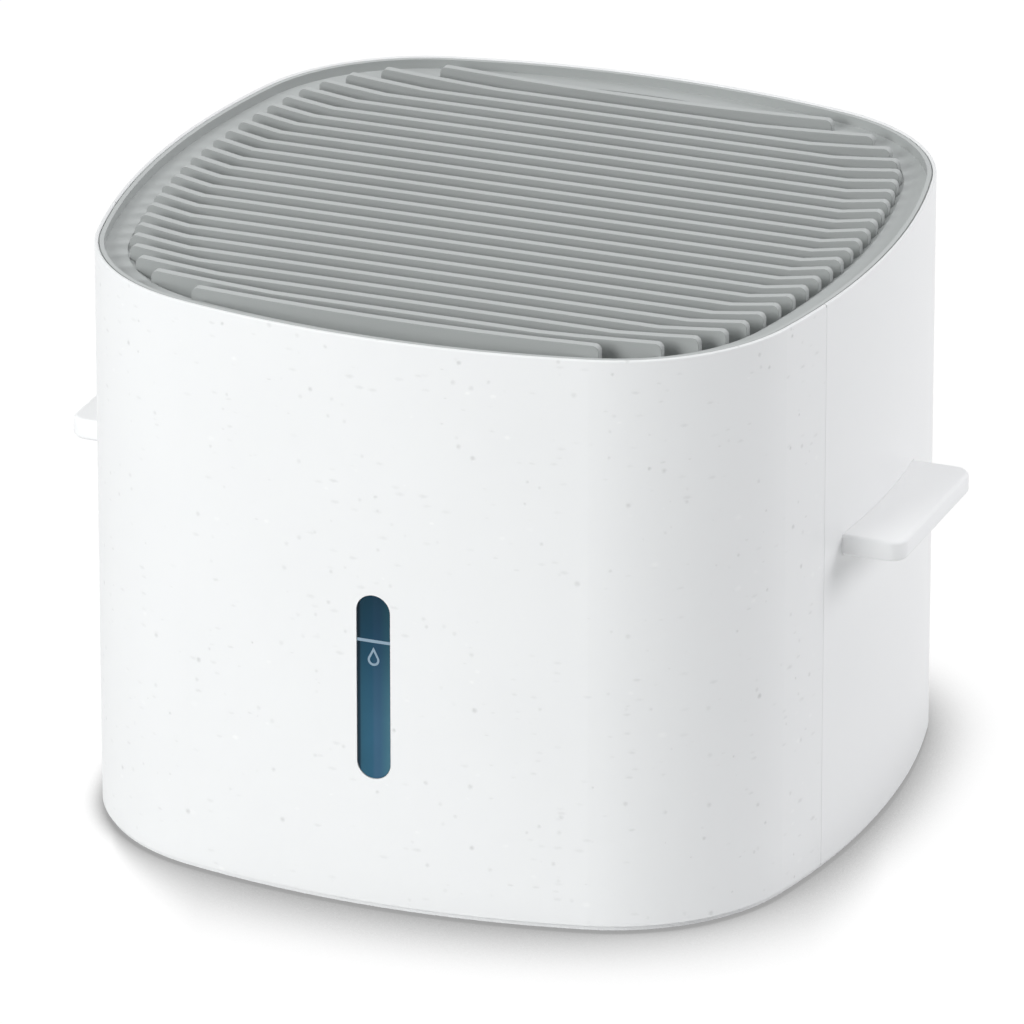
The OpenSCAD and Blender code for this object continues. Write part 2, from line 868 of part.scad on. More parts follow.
// One blade, a curved plate from the leading edge low at -Y to the trailing edge high at +Y
module blade() {
    chord = sqrt(pow(2 * blade_y, 2) + pow(impeller_h, 2));
    lift = sqrt(pow(blade_curve_r, 2) - pow(chord / 2, 2));
    cy = impeller_h / chord * lift;
    cz = impeller_h / 2 - 2 * blade_y / chord * lift;
    intersection() {
        difference() {
            cylinder(r = duct_r - tip_gap, h = impeller_h);
            translate([0, 0, -1]) cylinder(r = hub_r - 1, h = impeller_h + 2);
        }
        translate([0, -blade_y - 1, blade_edge])
            cube([duct_r, 2 * blade_y + 2, impeller_h - 2 * blade_edge]);
        translate([0, cy, cz])
            rotate([0, 90, 0])
                difference() {
                    cylinder(r = blade_curve_r + blade_t, h = duct_r);
                    translate([0, 0, -1]) cylinder(r = blade_curve_r, h = duct_r + 2);
                }
    }
}

module impeller() {
    color("darkslategray")
        translate([0, 0, impeller_z0])
            difference() {
                union() {
                    difference() {
                        cylinder(r = hub_r, h = impeller_h);
                        translate([0, 0, -1])
                            cylinder(r = hub_r - hub_wall_t, h = impeller_h - hub_top_t + 1);
                    }
                    translate([0, 0, motor_z1 + 0.8 - impeller_z0])
                        cylinder(r = 5, h = impeller_z1 - motor_z1 - 0.8);
                    for (i = [0:blades - 1])
                        rotate([0, 0, i * 360 / blades]) blade();
                }
                translate([0, 0, -1]) cylinder(r = shaft_r, h = impeller_h + 2);
            }
}

module fan_shaft() {
    color("silver")
        translate([0, 0, shaft_z0]) cylinder(r = shaft_r, h = impeller_z1 - shaft_z0);
}

module power_button() {
    color("gainsboro") {
        rod_y(control_x, button_z, button_r, button_face_y - 5.5, button_face_y);
        rod_y(control_x, button_z, button_r + 1.2, button_face_y - 7, button_face_y - 5.5);
        rod_y(control_x, button_z, button_stem_r,
              board_back + switch_h - switch_depth + button_travel + 0.2, button_face_y - 6);
    }
}

// Outlet grille

// A length in whole hundredths, so that arcs and edges meet cleanly
function neat(v) = round(100 * v) / 100;

// Outline of one fin in the X-Z plane. All fins end at one height, and the dish's arc is cut
// flatter the nearer the fin is to the front or the back.
module fin_outline(y) {
    x1 = neat(edge_x(abs(y) - fin_t / 4, fin_inset));
    sag = neat(dish_depth * (1 - pow(y / (half - fin_inset), 2)));
    ring_r = neat((pow(x1, 2) + pow(sag, 2)) / (2 * sag));
    dish_z = body_h + fin_rise - sag + ring_r;
    r = fin_corner_r;
    xc = x1 - r;
    zc = neat(dish_z - sqrt(pow(ring_r + r, 2) - pow(xc, 2)) - 0.02);
    xt = neat(xc * ring_r / (ring_r + r));
    difference() {
        translate([-xt, grille_z0]) square([2 * xt, body_h - grille_z0 + 10]);
        translate([0, dish_z]) circle(ring_r, $fn = arc_fn);
    }
    translate([-x1, grille_z0]) square([2 * x1, zc - grille_z0]);
    for (s = [-1, 1])
        translate([s * xc, zc]) circle(r);
}

module outlet_grille() {
    fins_each_side = floor((half - fin_inset - fin_t) / fin_pitch);
    rib_step = 2 * (half - fin_inset) / (cross_ribs + 1);
    color("darkgray") {
        difference() {
            wall(edge_inset, edge_inset + edge_t, ledge_z - tray_t, body_h - edge_low);
            rim_cut(body_h - edge_low, edge_t, edge_inset);
        }
        wall(edge_inset, well_inset, ledge_z - tray_t, ledge_z);
        wall(unit_inset, unit_inset + tray_t, skirt_z0, ledge_z);
        wall(well_inset - tray_t, well_inset, grille_z0, ledge_z);
        wall(well_inset - tray_t, well_inset + well_floor_w, grille_z0, well_z);
        for (i = [-fins_each_side:fins_each_side])
            translate([0, i * fin_pitch + fin_t / 2, 0])
                rotate([90, 0, 0])
                    linear_extrude(fin_t) fin_outline(i * fin_pitch);
        for (i = [1:cross_ribs])
            let (x = -half + fin_inset + i * rib_step, y1 = edge_y(x, well_inset + 1))
            translate([x - tray_t / 2, -y1, grille_z0]) cube([tray_t, 2 * y1, 3 * tray_t]);
    }
}

// Filter

module filter_collar() {
    color("white")
        difference() {
            translate([0, 0, wick_top]) cylinder(r = filter_r, h = filter_top - wick_top);
            translate([0, 0, wick_top - 1]) cylinder(r = lug_r + fit, h = collar_flange_z0 - wick_top + 1);
            translate([0, 0, collar_z0]) cylinder(r = collar_r + fit, h = filter_top - collar_z0 + 1);
            for (i = [0:lugs - 1])
                rotate([0, 0, i * 360 / lugs - bayonet_turn - lug_a / 2 - 1.5])
                    rotate_extrude(angle = lug_a + 3)
                        translate([collar_r - 2, collar_z0])
                            square([lug_r + fit / 2 - collar_r + 2, filter_top - collar_z0 + 1]);
        }
}

// Zigzag outline with its tips at the outer radius and its valleys one pleat further in
function zigzag(r) = [
    for (i = [0:2 * pleats - 1])
        let (a = i * 180 / pleats, q = i % 2 == 0 ? r : r - pleat_depth)
        [q * cos(a), q * sin(a)]
];

module wick_filter() {
    color("lightblue")
        translate([0, 0, wick_z0])
            linear_extrude(wick_top - wick_z0)
                difference() {
                    polygon(zigzag(wick_r));
                    polygon(zigzag(wick_r - wick_band));
                }
}

module filter_cage() {
    color("white")
        difference() {
            union() {
                translate([0, 0, filter_z0]) cylinder(r = filter_r, h = frame_t + cage_lip_h);
                intersection() {
                    translate([0, 0, filter_z0]) cylinder(r = filter_r, h = wick_top - filter_z0);
                    for (i = [0:cage_bars - 1])
                        rotate([0, 0, i * 360 / cage_bars])
                            translate([filter_r - 6, -cage_bar_w / 2, filter_z0])
                                cube([8, cage_bar_w, wick_top - filter_z0]);
                }
            }
            difference() {
                translate([0, 0, wick_z0]) cylinder(r = filter_r - frame_t, h = far);
                translate([0, 0, wick_z0 - 1]) cylinder(r = cage_in_r + frame_t, h = cage_lip_h + 1);
            }
            translate([0, 0, filter_z0 - 1]) cylinder(r = cage_in_r, h = far);
        }
}

module float_ring() {
    color("orange")
        translate([float_pos, -float_pos, float_z0])
            difference() {
                cylinder(r = float_r, h = float_h);
                translate([0, 0, -1]) cylinder(r = float_bore_r, h = float_h + 2);
            }
}

base_plate();
feet();
base_screws();
water_tank();
front_cover();
rear_cover();
handle_right();
handle_left();
level_window();
window_seal();
fan_deck();
fan_shroud();
deck_screws();
fan_motor();
motor_screws();
intake_panel();
control_board();
board_screws();
power_inlet();
indicator_lens();
float_stem();
stem_nut();
stem_clip();
impeller();
fan_shaft();
power_button();
outlet_grille();
filter_collar();
wick_filter();
filter_cage();
float_ring();
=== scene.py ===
"""Finish and studio stage for a cool mist humidifier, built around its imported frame."""

import math

import bmesh
import bpy
from bpy.props import FloatProperty, FloatVectorProperty, IntProperty, PointerProperty
from mathutils import Matrix, Vector


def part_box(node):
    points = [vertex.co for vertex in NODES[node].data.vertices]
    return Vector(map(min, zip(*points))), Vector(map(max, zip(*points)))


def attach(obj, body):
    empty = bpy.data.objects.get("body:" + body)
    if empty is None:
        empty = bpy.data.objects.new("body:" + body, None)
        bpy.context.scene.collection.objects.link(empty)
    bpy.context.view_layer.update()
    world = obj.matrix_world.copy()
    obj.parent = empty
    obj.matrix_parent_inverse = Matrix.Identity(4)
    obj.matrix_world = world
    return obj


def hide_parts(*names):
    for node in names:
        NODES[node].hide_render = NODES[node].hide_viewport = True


bl_info = {
    "name": "Cool Mist Humidifier",
    "version": (1, 0, 0),
    "blender": (4, 5, 0),
    "location": "3D View > Sidebar > Humidifier",
    "description": "Dresses the packed humidifier and sets its studio stage",
    "category": "Object",
}

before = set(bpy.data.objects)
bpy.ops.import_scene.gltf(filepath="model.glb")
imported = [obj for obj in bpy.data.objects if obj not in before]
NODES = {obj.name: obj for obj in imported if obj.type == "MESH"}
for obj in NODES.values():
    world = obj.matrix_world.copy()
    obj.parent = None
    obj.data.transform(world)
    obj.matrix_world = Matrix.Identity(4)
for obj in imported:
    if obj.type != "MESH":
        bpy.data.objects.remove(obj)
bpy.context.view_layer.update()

MM = 0.001

# The body's plan, as the source has it: four side arcs and four corner arcs, in millimetres
HALF = 122.5
SIDE_R = 285.6
CORNER_R = 63.7
BOW = SIDE_R - HALF
BLEND = SIDE_R - CORNER_R
CORNER_C = (math.sqrt(2 * BLEND ** 2 - BOW ** 2) - BOW) / 2
SIDE_A = math.asin(CORNER_C / BLEND)


def face_at(across, inset):
    """Distance of a side's face from the middle, at a place across it, in millimetres."""
    a, rs, rc = abs(across), SIDE_R - inset, CORNER_R - inset
    if a <= CORNER_C + rc * math.sin(SIDE_A):
        return math.sqrt(rs ** 2 - a ** 2) - BOW
    return CORNER_C + math.sqrt(max(rc ** 2 - (a - CORNER_C) ** 2, 0))


# Sizes, colours and light that a user may change


class HumidifierSizes(bpy.types.PropertyGroup):
    grip_edge: FloatProperty(
        name="Grip Edge Radius", description="Rounding of the side grips' long edges",
        default=0.0014, min=0.0005, max=0.0032, unit="LENGTH", subtype="DISTANCE")
    grip_steps: IntProperty(
        name="Grip Edge Steps", description="Steps across the rounding of a grip",
        default=6, min=2, max=12)
    soft_edge: FloatProperty(
        name="Soft Edge", description="Width of the light that moulded edges catch",
        default=0.0004, min=0.0001, max=0.001, unit="LENGTH", subtype="DISTANCE")
    full_line_z: FloatProperty(
        name="Full Line Height", description="Height of the line on the level window",
        default=0.0909, min=0.08, max=0.1, unit="LENGTH", subtype="DISTANCE")
    full_line_width: FloatProperty(
        name="Full Line Width", description="Width of the line on the level window",
        default=0.001, min=0.0004, max=0.002, unit="LENGTH", subtype="DISTANCE")
    drop_height: FloatProperty(
        name="Drop Height", description="Height of the water drop printed on the window",
        default=0.0062, min=0.003, max=0.01, unit="LENGTH", subtype="DISTANCE")
    print_thickness: FloatProperty(
        name="Print Thickness", description="How far the print stands proud",
        default=0.00005, min=0.00002, max=0.0002, unit="LENGTH", subtype="DISTANCE")
    fleck_spacing: FloatProperty(
        name="Fleck Spacing", description="Distance between flecks of the front cover",
        default=0.0048, min=0.003, max=0.03, unit="LENGTH", subtype="DISTANCE")


class HumidifierFinish(bpy.types.PropertyGroup):
    cover: FloatVectorProperty(
        name="Cover White", description="White of the covers, the grips and the base",
        subtype="COLOR", size=3, min=0, max=1, default=(0.865, 0.868, 0.868))
    fleck: FloatVectorProperty(
        name="Fleck Grey", description="Grey of the flecks in the front cover",
        subtype="COLOR", size=3, min=0, max=1, default=(0.36, 0.36, 0.35))
    grille: FloatVectorProperty(
        name="Grille Grey", description="Grey of the outlet grille",
        subtype="COLOR", size=3, min=0, max=1, default=(0.452, 0.468, 0.462))
    window_top: FloatVectorProperty(
        name="Window Top", description="Blue of the window's upper end",
        subtype="COLOR", size=3, min=0, max=1, default=(0.006, 0.028, 0.046))
    window_line: FloatVectorProperty(
        name="Window Line", description="Blue of the window at the full line",
        subtype="COLOR", size=3, min=0, max=1, default=(0.014, 0.052, 0.092))
    window_low: FloatVectorProperty(
        name="Window Low", description="Blue of the window's lower end",
        subtype="COLOR", size=3, min=0, max=1, default=(0.041, 0.11, 0.178))
    print_tint: FloatVectorProperty(
        name="Window Print", description="Tint of the line and the drop",
        subtype="COLOR", size=3, min=0, max=1, default=(0.25, 0.35, 0.44))


class HumidifierStage(bpy.types.PropertyGroup):
    azimuth: FloatProperty(
        name="Azimuth", description="Camera's turn to the right of the front",
        default=math.radians(21.4), unit="ROTATION", subtype="ANGLE")
    elevation: FloatProperty(
        name="Elevation", description="Camera's height above the level, as an angle",
        default=math.radians(22.66), unit="ROTATION", subtype="ANGLE")
    distance: FloatProperty(
        name="Distance", description="Camera's distance from its target",
        default=3.72, min=1, max=10, unit="LENGTH", subtype="DISTANCE")
    lens: FloatProperty(
        name="Lens", description="Focal length in millimetres", default=413.8, min=50, max=800)
    key: FloatProperty(name="Key Lamp", description="Power of the front lamp in watts",
                       default=244, min=0, max=1000)
    side: FloatProperty(name="Side Lamp", description="Power of the right lamp in watts",
                        default=165, min=0, max=1000)
    top: FloatProperty(name="Top Lamp", description="Power of the lamp above in watts",
                       default=60, min=0, max=1000)
    ambient: FloatProperty(name="Ambient", description="Strength of the studio's even light",
                           default=0.335, min=0, max=1)
    contact: FloatProperty(name="Contact Shade", description="How dark the floor is at the base",
                           default=0.58, min=0, max=1)


# Shader building


def place(tree, kind, **settings):
    node = tree.nodes.new(kind)
    for key, value in settings.items():
        setattr(node, key, value)
    return node


def feed(tree, source, target):
    tree.links.new(source, target)


def math_node(tree, operation, a, b, clamp=False):
    """A Math node; a and b are sockets or numbers."""
    node = place(tree, "ShaderNodeMath", operation=operation, use_clamp=clamp)
    for i, v in enumerate((a, b)):
        if isinstance(v, (int, float)):
            node.inputs[i].default_value = v
        else:
            feed(tree, v, node.inputs[i])
    return node.outputs[0]


def span(tree, value, low, high, to_low=0.0, to_high=1.0, smooth=False):
    """A Map Range node from low..high to to_low..to_high; each may be a socket or a number."""
    node = place(tree, "ShaderNodeMapRange")
    if smooth:
        node.interpolation_type = "SMOOTHSTEP"
    feed(tree, value, node.inputs["Value"])
    for name, v in (("From Min", low), ("From Max", high), ("To Min", to_low), ("To Max", to_high)):
        if isinstance(v, (int, float)):
            node.inputs[name].default_value = v
        else:
            feed(tree, v, node.inputs[name])
    return node.outputs["Result"]


# Places of a Mix node's two inputs and its output, which share their names between kinds
COLOUR_A, COLOUR_B, COLOUR_OUT = 6, 7, 2
VECTOR_A, VECTOR_B, VECTOR_OUT = 4, 5, 1


def blend_colour(tree, share, a, b, kind="MIX"):
    """A colour Mix node; share is a socket or a number, a and b are sockets or colours."""
    node = place(tree, "ShaderNodeMix", data_type="RGBA", blend_type=kind)
    for socket, v in ((node.inputs[0], share), (node.inputs[COLOUR_A], a),
                      (node.inputs[COLOUR_B], b)):
        if isinstance(v, (int, float)):
            socket.default_value = v
        elif isinstance(v, tuple):
            socket.default_value = (*v, 1)
        else:
            feed(tree, v, socket)
    return node.outputs[COLOUR_OUT]


def ramp(tree, value, stops):
    """A Color Ramp node through the given stops of place and colour."""
    node = place(tree, "ShaderNodeValToRGB")
    marks = node.color_ramp.elements
    while len(marks) < len(stops):
        marks.new(0.5)
    for mark, (at, colour) in zip(marks, stops):
        mark.position = at
        mark.color = (*colour, 1)
    feed(tree, value, node.inputs[0])
    return node.outputs[0]


def new_group(name, inputs, outputs):
    """A shader node group with its sockets; returns the tree and its two end nodes."""
    tree = bpy.data.node_groups.new(name, "ShaderNodeTree")
    for label, kind, default in inputs:
        socket = tree.interface.new_socket(label, in_out="INPUT", socket_type=kind)
        socket.default_value = default
    for label, kind in outputs:
        tree.interface.new_socket(label, in_out="OUTPUT", socket_type=kind)
    return tree, place(tree, "NodeGroupInput"), place(tree, "NodeGroupOutput")


FLOAT, VECTOR = "NodeSocketFloat", "NodeSocketVector"
# Noise lies mostly between these
NOISE = (0.3, 0.7)


def object_place(tree):
    """Object coordinates."""
    return place(tree, "ShaderNodeTexCoord").outputs["Object"]


def scaled(tree, vector, scale):
    """A vector or colour times a scale socket."""
    node = place(tree, "ShaderNodeVectorMath", operation="SCALE")
    feed(tree, vector, node.inputs[0])
    feed(tree, scale, node.inputs["Scale"])
    return node.outputs[0]


def moulded_grain():
    """Fine spark-eroded grain with slow drifts of tone, as on moulded plastic."""
    if "Moulded Grain" in bpy.data.node_groups:
        return bpy.data.node_groups["Moulded Grain"]
    tree, given, out = new_group(
        "Moulded Grain",
        [("Grain Size", FLOAT, 0.0004), ("Drift Size", FLOAT, 0.05)],
        [("Height", FLOAT), ("Tone", FLOAT), ("Sheen Drift", FLOAT)])
    noises = []
    for label, detail in (("Grain Size", 2), ("Drift Size", 3)):
        noise = place(tree, "ShaderNodeTexNoise")
        noise.inputs["Scale"].default_value = 1
        noise.inputs["Detail"].default_value = detail
        scale = math_node(tree, "DIVIDE", 1.0, given.outputs[label])
        feed(tree, scaled(tree, object_place(tree), scale), noise.inputs["Vector"])
        noises.append(noise)
    fine, slow = noises
    feed(tree, fine.outputs["Fac"], out.inputs["Height"])
    feed(tree, slow.outputs["Fac"], out.inputs["Tone"])
    feed(tree, math_node(tree, "ADD", math_node(tree, "MULTIPLY", slow.outputs["Fac"], 0.7),
                         math_node(tree, "MULTIPLY", fine.outputs["Fac"], 0.3)),
         out.inputs["Sheen Drift"])
    return tree


# Flecks: scale and strength of the noise that bends them, their sizes and strengths against the
# given ones, and the share of their size within which they are solid
BEND_SCALE, BEND = 6, 0.08
FLECK_SIZES = (0.45, 1.35)
FLECK_STRENGTHS = (0.3, 1.0)
FLECK_CORE = 0.1


def scattered_flecks():
    """Sparse flecks of uneven size and strength, as of mineral filler in a plastic."""
    if "Scattered Flecks" in bpy.data.node_groups:
        return bpy.data.node_groups["Scattered Flecks"]
    tree, given, out = new_group(
        "Scattered Flecks",
        [("Spacing", FLOAT, 0.012), ("Size", FLOAT, 0.0007), ("Share", FLOAT, 0.6),
         ("Stretch", FLOAT, 1.0)],
        [("Mask", FLOAT)])
    scale = math_node(tree, "DIVIDE", 1.0, given.outputs["Spacing"])
    at = scaled(tree, object_place(tree), scale)
    noise = place(tree, "ShaderNodeTexNoise")
    noise.inputs["Scale"].default_value = BEND_SCALE
    feed(tree, at, noise.inputs["Vector"])
    bent = place(tree, "ShaderNodeMix", data_type="VECTOR")
    bent.inputs[0].default_value = BEND
    feed(tree, at, bent.inputs[VECTOR_A])
    feed(tree, noise.outputs["Color"], bent.inputs[VECTOR_B])
    stretch = place(tree, "ShaderNodeCombineXYZ")
    for i in (0, 1):
        stretch.inputs[i].default_value = 1
    feed(tree, given.outputs["Stretch"], stretch.inputs[2])
    pulled = place(tree, "ShaderNodeVectorMath", operation="MULTIPLY")
    feed(tree, bent.outputs[VECTOR_OUT], pulled.inputs[0])
    feed(tree, stretch.outputs[0], pulled.inputs[1])
    cells = place(tree, "ShaderNodeTexVoronoi", feature="F1")
    cells.inputs["Scale"].default_value = 1
    feed(tree, pulled.outputs[0], cells.inputs["Vector"])
    pick = place(tree, "ShaderNodeSeparateColor")
    feed(tree, cells.outputs["Color"], pick.inputs[0])
    size = math_node(tree, "MULTIPLY", given.outputs["Size"], scale)
    own = math_node(tree, "MULTIPLY", size, span(tree, pick.outputs[1], 0, 1, *FLECK_SIZES))
    core = math_node(tree, "MULTIPLY", own, FLECK_CORE)
    dot = span(tree, cells.outputs["Distance"], own, core, smooth=True)
    kept = math_node(tree, "LESS_THAN", pick.outputs[0], given.outputs["Share"])
    strength = span(tree, pick.outputs[2], 0, 1, *FLECK_STRENGTHS)
    mask = math_node(tree, "MULTIPLY", math_node(tree, "MULTIPLY", dot, kept), strength)
    feed(tree, mask, out.inputs["Mask"])
    return tree


def soft_edges():
    """Normals rounded over at edges, so that a moulded edge catches the light."""
    if "Soft Edges" in bpy.data.node_groups:
        return bpy.data.node_groups["Soft Edges"]
    tree, given, out = new_group("Soft Edges", [("Radius", FLOAT, 0.0004)], [("Normal", VECTOR)])
    bevel = place(tree, "ShaderNodeBevel", samples=4)
    feed(tree, given.outputs["Radius"], bevel.inputs["Radius"])
    feed(tree, bevel.outputs[0], out.inputs["Normal"])
    return tree


def use_group(tree, group, **values):
    node = place(tree, "ShaderNodeGroup", node_tree=group)
    for name, value in values.items():
        node.inputs[name.replace("_", " ")].default_value = value
    return node


def new_finish(name, **sockets):
    """A material with a Principled BSDF; the given sockets are set by name."""
    material = bpy.data.materials.new(name)
    material.use_nodes = True
    tree = material.node_tree
    shader = tree.nodes["Principled BSDF"]
    for label, value in sockets.items():
        shader.inputs[label.replace("_", " ")].default_value = value
    return material, tree, shader


# Size of the slow drifts in moulded plastic, in metres, and how far they move its roughness
DRIFT_SIZE = 0.05
SHEEN_DRIFT = 0.06


def plastic_parts(name, colour, roughness, grain=0.0004, depth=0.00001, tone=0.03, edge=None,
                  **sockets):
    """Moulded plastic with grain and softened edges: its material, tree, shader, tint and bump."""
    material, tree, shader = new_finish(name, **sockets)
    skin = use_group(tree, moulded_grain(), Grain_Size=grain, Drift_Size=DRIFT_SIZE)
    darker = tuple(c * (1 - tone) for c in colour)
    share = span(tree, skin.outputs["Tone"], *NOISE)
    tint = blend_colour(tree, share, darker, tuple(colour))
    feed(tree, tint, shader.inputs["Base Color"])
    feed(tree, span(tree, skin.outputs["Sheen Drift"], *NOISE, roughness - SHEEN_DRIFT,
                    roughness + SHEEN_DRIFT), shader.inputs["Roughness"])
    bump = place(tree, "ShaderNodeBump")
    bump.inputs["Distance"].default_value = depth
    bump.inputs["Strength"].default_value = 1
    feed(tree, skin.outputs["Height"], bump.inputs["Height"])
    radius = sizes().soft_edge if edge is None else edge
    if radius:
        soft = use_group(tree, soft_edges(), Radius=radius)
        feed(tree, soft.outputs["Normal"], bump.inputs["Normal"])
    feed(tree, bump.outputs["Normal"], shader.inputs["Normal"])
    return material, tree, shader, tint, bump


def plastic(name, colour, roughness, **values):
    """The material of a piece that is plain moulded plastic."""
    return plastic_parts(name, colour, roughness, **values)[0]


def sizes():
    return bpy.context.scene.humidifier_sizes


def finish():
    return bpy.context.scene.humidifier_finish


def dress(material, *names):
    """Puts a material on CAD nodes."""
    for name in names:
        mesh = NODES[name].data
        mesh.materials.clear()
        mesh.materials.append(material)


# Mesh building

WELD_DISTANCE = 1e-7
SHARP_ANGLE = math.radians(35)


def new_piece(name, build, material, body):
    """A mesh piece from a bmesh-building function, riding on a body."""
    mesh = bpy.data.meshes.new(name)
    work = bmesh.new()
    build(work)
    bmesh.ops.remove_doubles(work, verts=work.verts, dist=WELD_DISTANCE)
    bmesh.ops.recalc_face_normals(work, faces=work.faces)
    work.to_mesh(mesh)
    work.free()
    mesh.materials.append(material)
    piece = bpy.data.objects.new(name, mesh)
    bpy.context.scene.collection.objects.link(piece)
    for face in mesh.polygons:
        face.use_smooth = True
    mesh.set_sharp_from_angle(angle=SHARP_ANGLE)
    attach(piece, body)
    return piece


def loft(work, rings, capped=True):
    """Joins rings of points, in metres, into a skin."""
    rows = [[work.verts.new(p) for p in ring] for ring in rings]
    count = len(rows[0])
    for a, b in zip(rows, rows[1:]):
        for i in range(count):
            j = (i + 1) % count
            work.faces.new((a[i], a[j], b[j], b[i]))
    if capped:
        work.faces.new(rows[0][::-1])
        work.faces.new(rows[-1])


def plan_points(inset, z, side_steps=12, corner_steps=20):
    """The body's outline once round, in metres, at an inset and a height in millimetres."""
    points = []
    for k in range(4):
        turn = Matrix.Rotation(math.radians(90 * k), 3, "Z")
        arcs = ((-BOW, 0, SIDE_R - inset, -SIDE_A, SIDE_A, side_steps),
                (CORNER_C, CORNER_C, CORNER_R - inset, SIDE_A, math.pi / 2 - SIDE_A, corner_steps))
        for cx, cy, r, start, end, steps in arcs:
            for i in range(steps):
                a = start + (end - start) * i / steps
                points.append(turn @ Vector((cx + r * math.cos(a), cy + r * math.sin(a), z)) * MM)
    return points


def band_round(work, section):
    """A closed band that follows the body's plan; section is a loop of (inset, height) in mm."""
    rings = [plan_points(inset, z) for inset, z in section]
    loft(work, rings + rings[:1], capped=False)


def curved_plate(work, side, inset, y, z, steps=24):
    """A plate that follows a side's face; inset, y and z are (low, high) in millimetres."""
    rows = []
    for depth, up in ((0, 0), (0, 1), (1, 1), (1, 0)):
        row = []
        for i in range(steps + 1):
            across = y[0] + (y[1] - y[0]) * i / steps
            row.append(work.verts.new((side * face_at(across, inset[depth]) * MM, across * MM,
                                       z[up] * MM)))
        rows.append(row)
    for a, b in zip(rows, rows[1:] + rows[:1]):
        for i in range(steps):
            work.faces.new((a[i], a[i + 1], b[i + 1], b[i]))
    for i in (0, steps):
        work.faces.new([row[i] for row in rows])


def raised_print(work, rows, at, proud, sunk):
    """Thin print between two rows of (x, z); at(x, z, out) is the point that far off the face."""
    face, back = ([[work.verts.new(at(x, z, out)) for x, z in row] for row in rows]
                  for out in (proud, -sunk))
    last = len(rows[0]) - 1
    for i in range(last):
        work.faces.new((face[0][i], face[0][i + 1], face[1][i + 1], face[1][i]))
        work.faces.new((back[0][i], back[1][i], back[1][i + 1], back[0][i + 1]))
        for k in (0, 1):
            work.faces.new((face[k][i], back[k][i], back[k][i + 1], face[k][i + 1]))
    if rows[0][0] != rows[0][last]:
        for i in (0, last):
            work.faces.new((face[0][i], face[1][i], back[1][i], back[0][i]))


# The covers, the base and the feet

# Width of the light that the covers' edges catch, and the depth of the pits, in metres
COVER_EDGE = 0.00012
PIT_DEPTH = 0.00012
# Kinds of fleck: spacing against the common one, size in metres, share kept, stretch upwards
ROUND_FLECKS = (1.0, 0.0009, 0.5, 1.0)
LONG_FLECKS = (1.37, 0.0015, 0.55, 2.4)
PALE_FLECKS = (1.83, 0.0014, 0.6, 1.5)
# Strengths: of the long ones beside the round ones, of the pale ones, and of the grey as a whole
LONG_STRENGTH, PALE_STRENGTH, GREY_STRENGTH = 0.55, 0.6, 0.36
PALE_TINT = (0.96, 0.96, 0.95)
# Tone of the base against the covers
BASE_TONE = 0.97
# The strips that fill the seams, in millimetres: place and half width along the side, depths
# below its face, and how far they stop short of the front cover's lower and upper edge
SEAM_Y, SEAM_HALF_W = 45.0, 0.248
SEAM_DEPTHS = (0.04, 2.85)
SEAM_FOOT, SEAM_HEAD = 0.3, 1.2


def flecks(tree, kind):
    """The mask of one kind of fleck."""
    spread, size, share, stretch = kind
    node = use_group(tree, scattered_flecks(), Spacing=sizes().fleck_spacing * spread, Size=size,
                     Share=share, Stretch=stretch)
    return node.outputs["Mask"]


def speckled_white(white):
    """White plastic with grey flecks in shallow pits, and paler flecks between them."""
    material, tree, shader, tint, bump = plastic_parts(
        "speckled_white", white, 0.42, grain=0.0006, depth=0.000012, tone=0.012, edge=COVER_EDGE)
    mask = math_node(tree, "MAXIMUM", flecks(tree, ROUND_FLECKS),
                     math_node(tree, "MULTIPLY", flecks(tree, LONG_FLECKS), LONG_STRENGTH))
    pale = math_node(tree, "MULTIPLY", flecks(tree, PALE_FLECKS), PALE_STRENGTH)
    grey = math_node(tree, "MULTIPLY", mask, GREY_STRENGTH)
    paler = blend_colour(tree, pale, tint, PALE_TINT)
    feed(tree, blend_colour(tree, grey, paler, tuple(finish().fleck)), shader.inputs["Base Color"])
    pits = place(tree, "ShaderNodeBump")
    pits.inputs["Distance"].default_value = PIT_DEPTH
    feed(tree, math_node(tree, "MULTIPLY", mask, -1.0), pits.inputs["Height"])
    feed(tree, bump.outputs["Normal"], pits.inputs["Normal"])
    feed(tree, pits.outputs["Normal"], shader.inputs["Normal"])
    return material


class HUMIDIFIER_OT_covers(bpy.types.Operator):
    """Finish the two covers, the base and the feet, and fill the seams between the covers"""
    bl_idname = "humidifier.covers"
    bl_label = "Covers and Base"

    def execute(self, context):
        white = tuple(finish().cover)
        dress(speckled_white(white), "front_cover")
        smooth = plastic("smooth_white", white, 0.36, tone=0.01, edge=COVER_EDGE)
        dress(smooth, "rear_cover")
        dress(plastic("base_white", tuple(c * BASE_TONE for c in white), 0.45), "base_plate")
        dress(plastic("foot_rubber", (0.035, 0.035, 0.036), 0.8, depth=0.00003), "feet")
        low, high = (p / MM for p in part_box("front_cover"))
        along = (-SEAM_Y - SEAM_HALF_W, -SEAM_Y + SEAM_HALF_W)
        up = (low.z + SEAM_FOOT, high.z - SEAM_HEAD)
        for side, name in ((1, "seam_right"), (-1, "seam_left")):
            new_piece(name, lambda work: curved_plate(work, side, SEAM_DEPTHS, along, up, steps=2),
                      smooth, "tank_body")
        return {"FINISHED"}


# The side grips

# In millimetres: how far the foot outreaches the grip up and down and to the sides, where the
# grip starts inside the cover, and the radius of its outer corners
GRIP_FOOT_UP, GRIP_FOOT_OUT = 8.0, 3.0
GRIP_ROOT_X, GRIP_CORNER = 117.0, 5.5
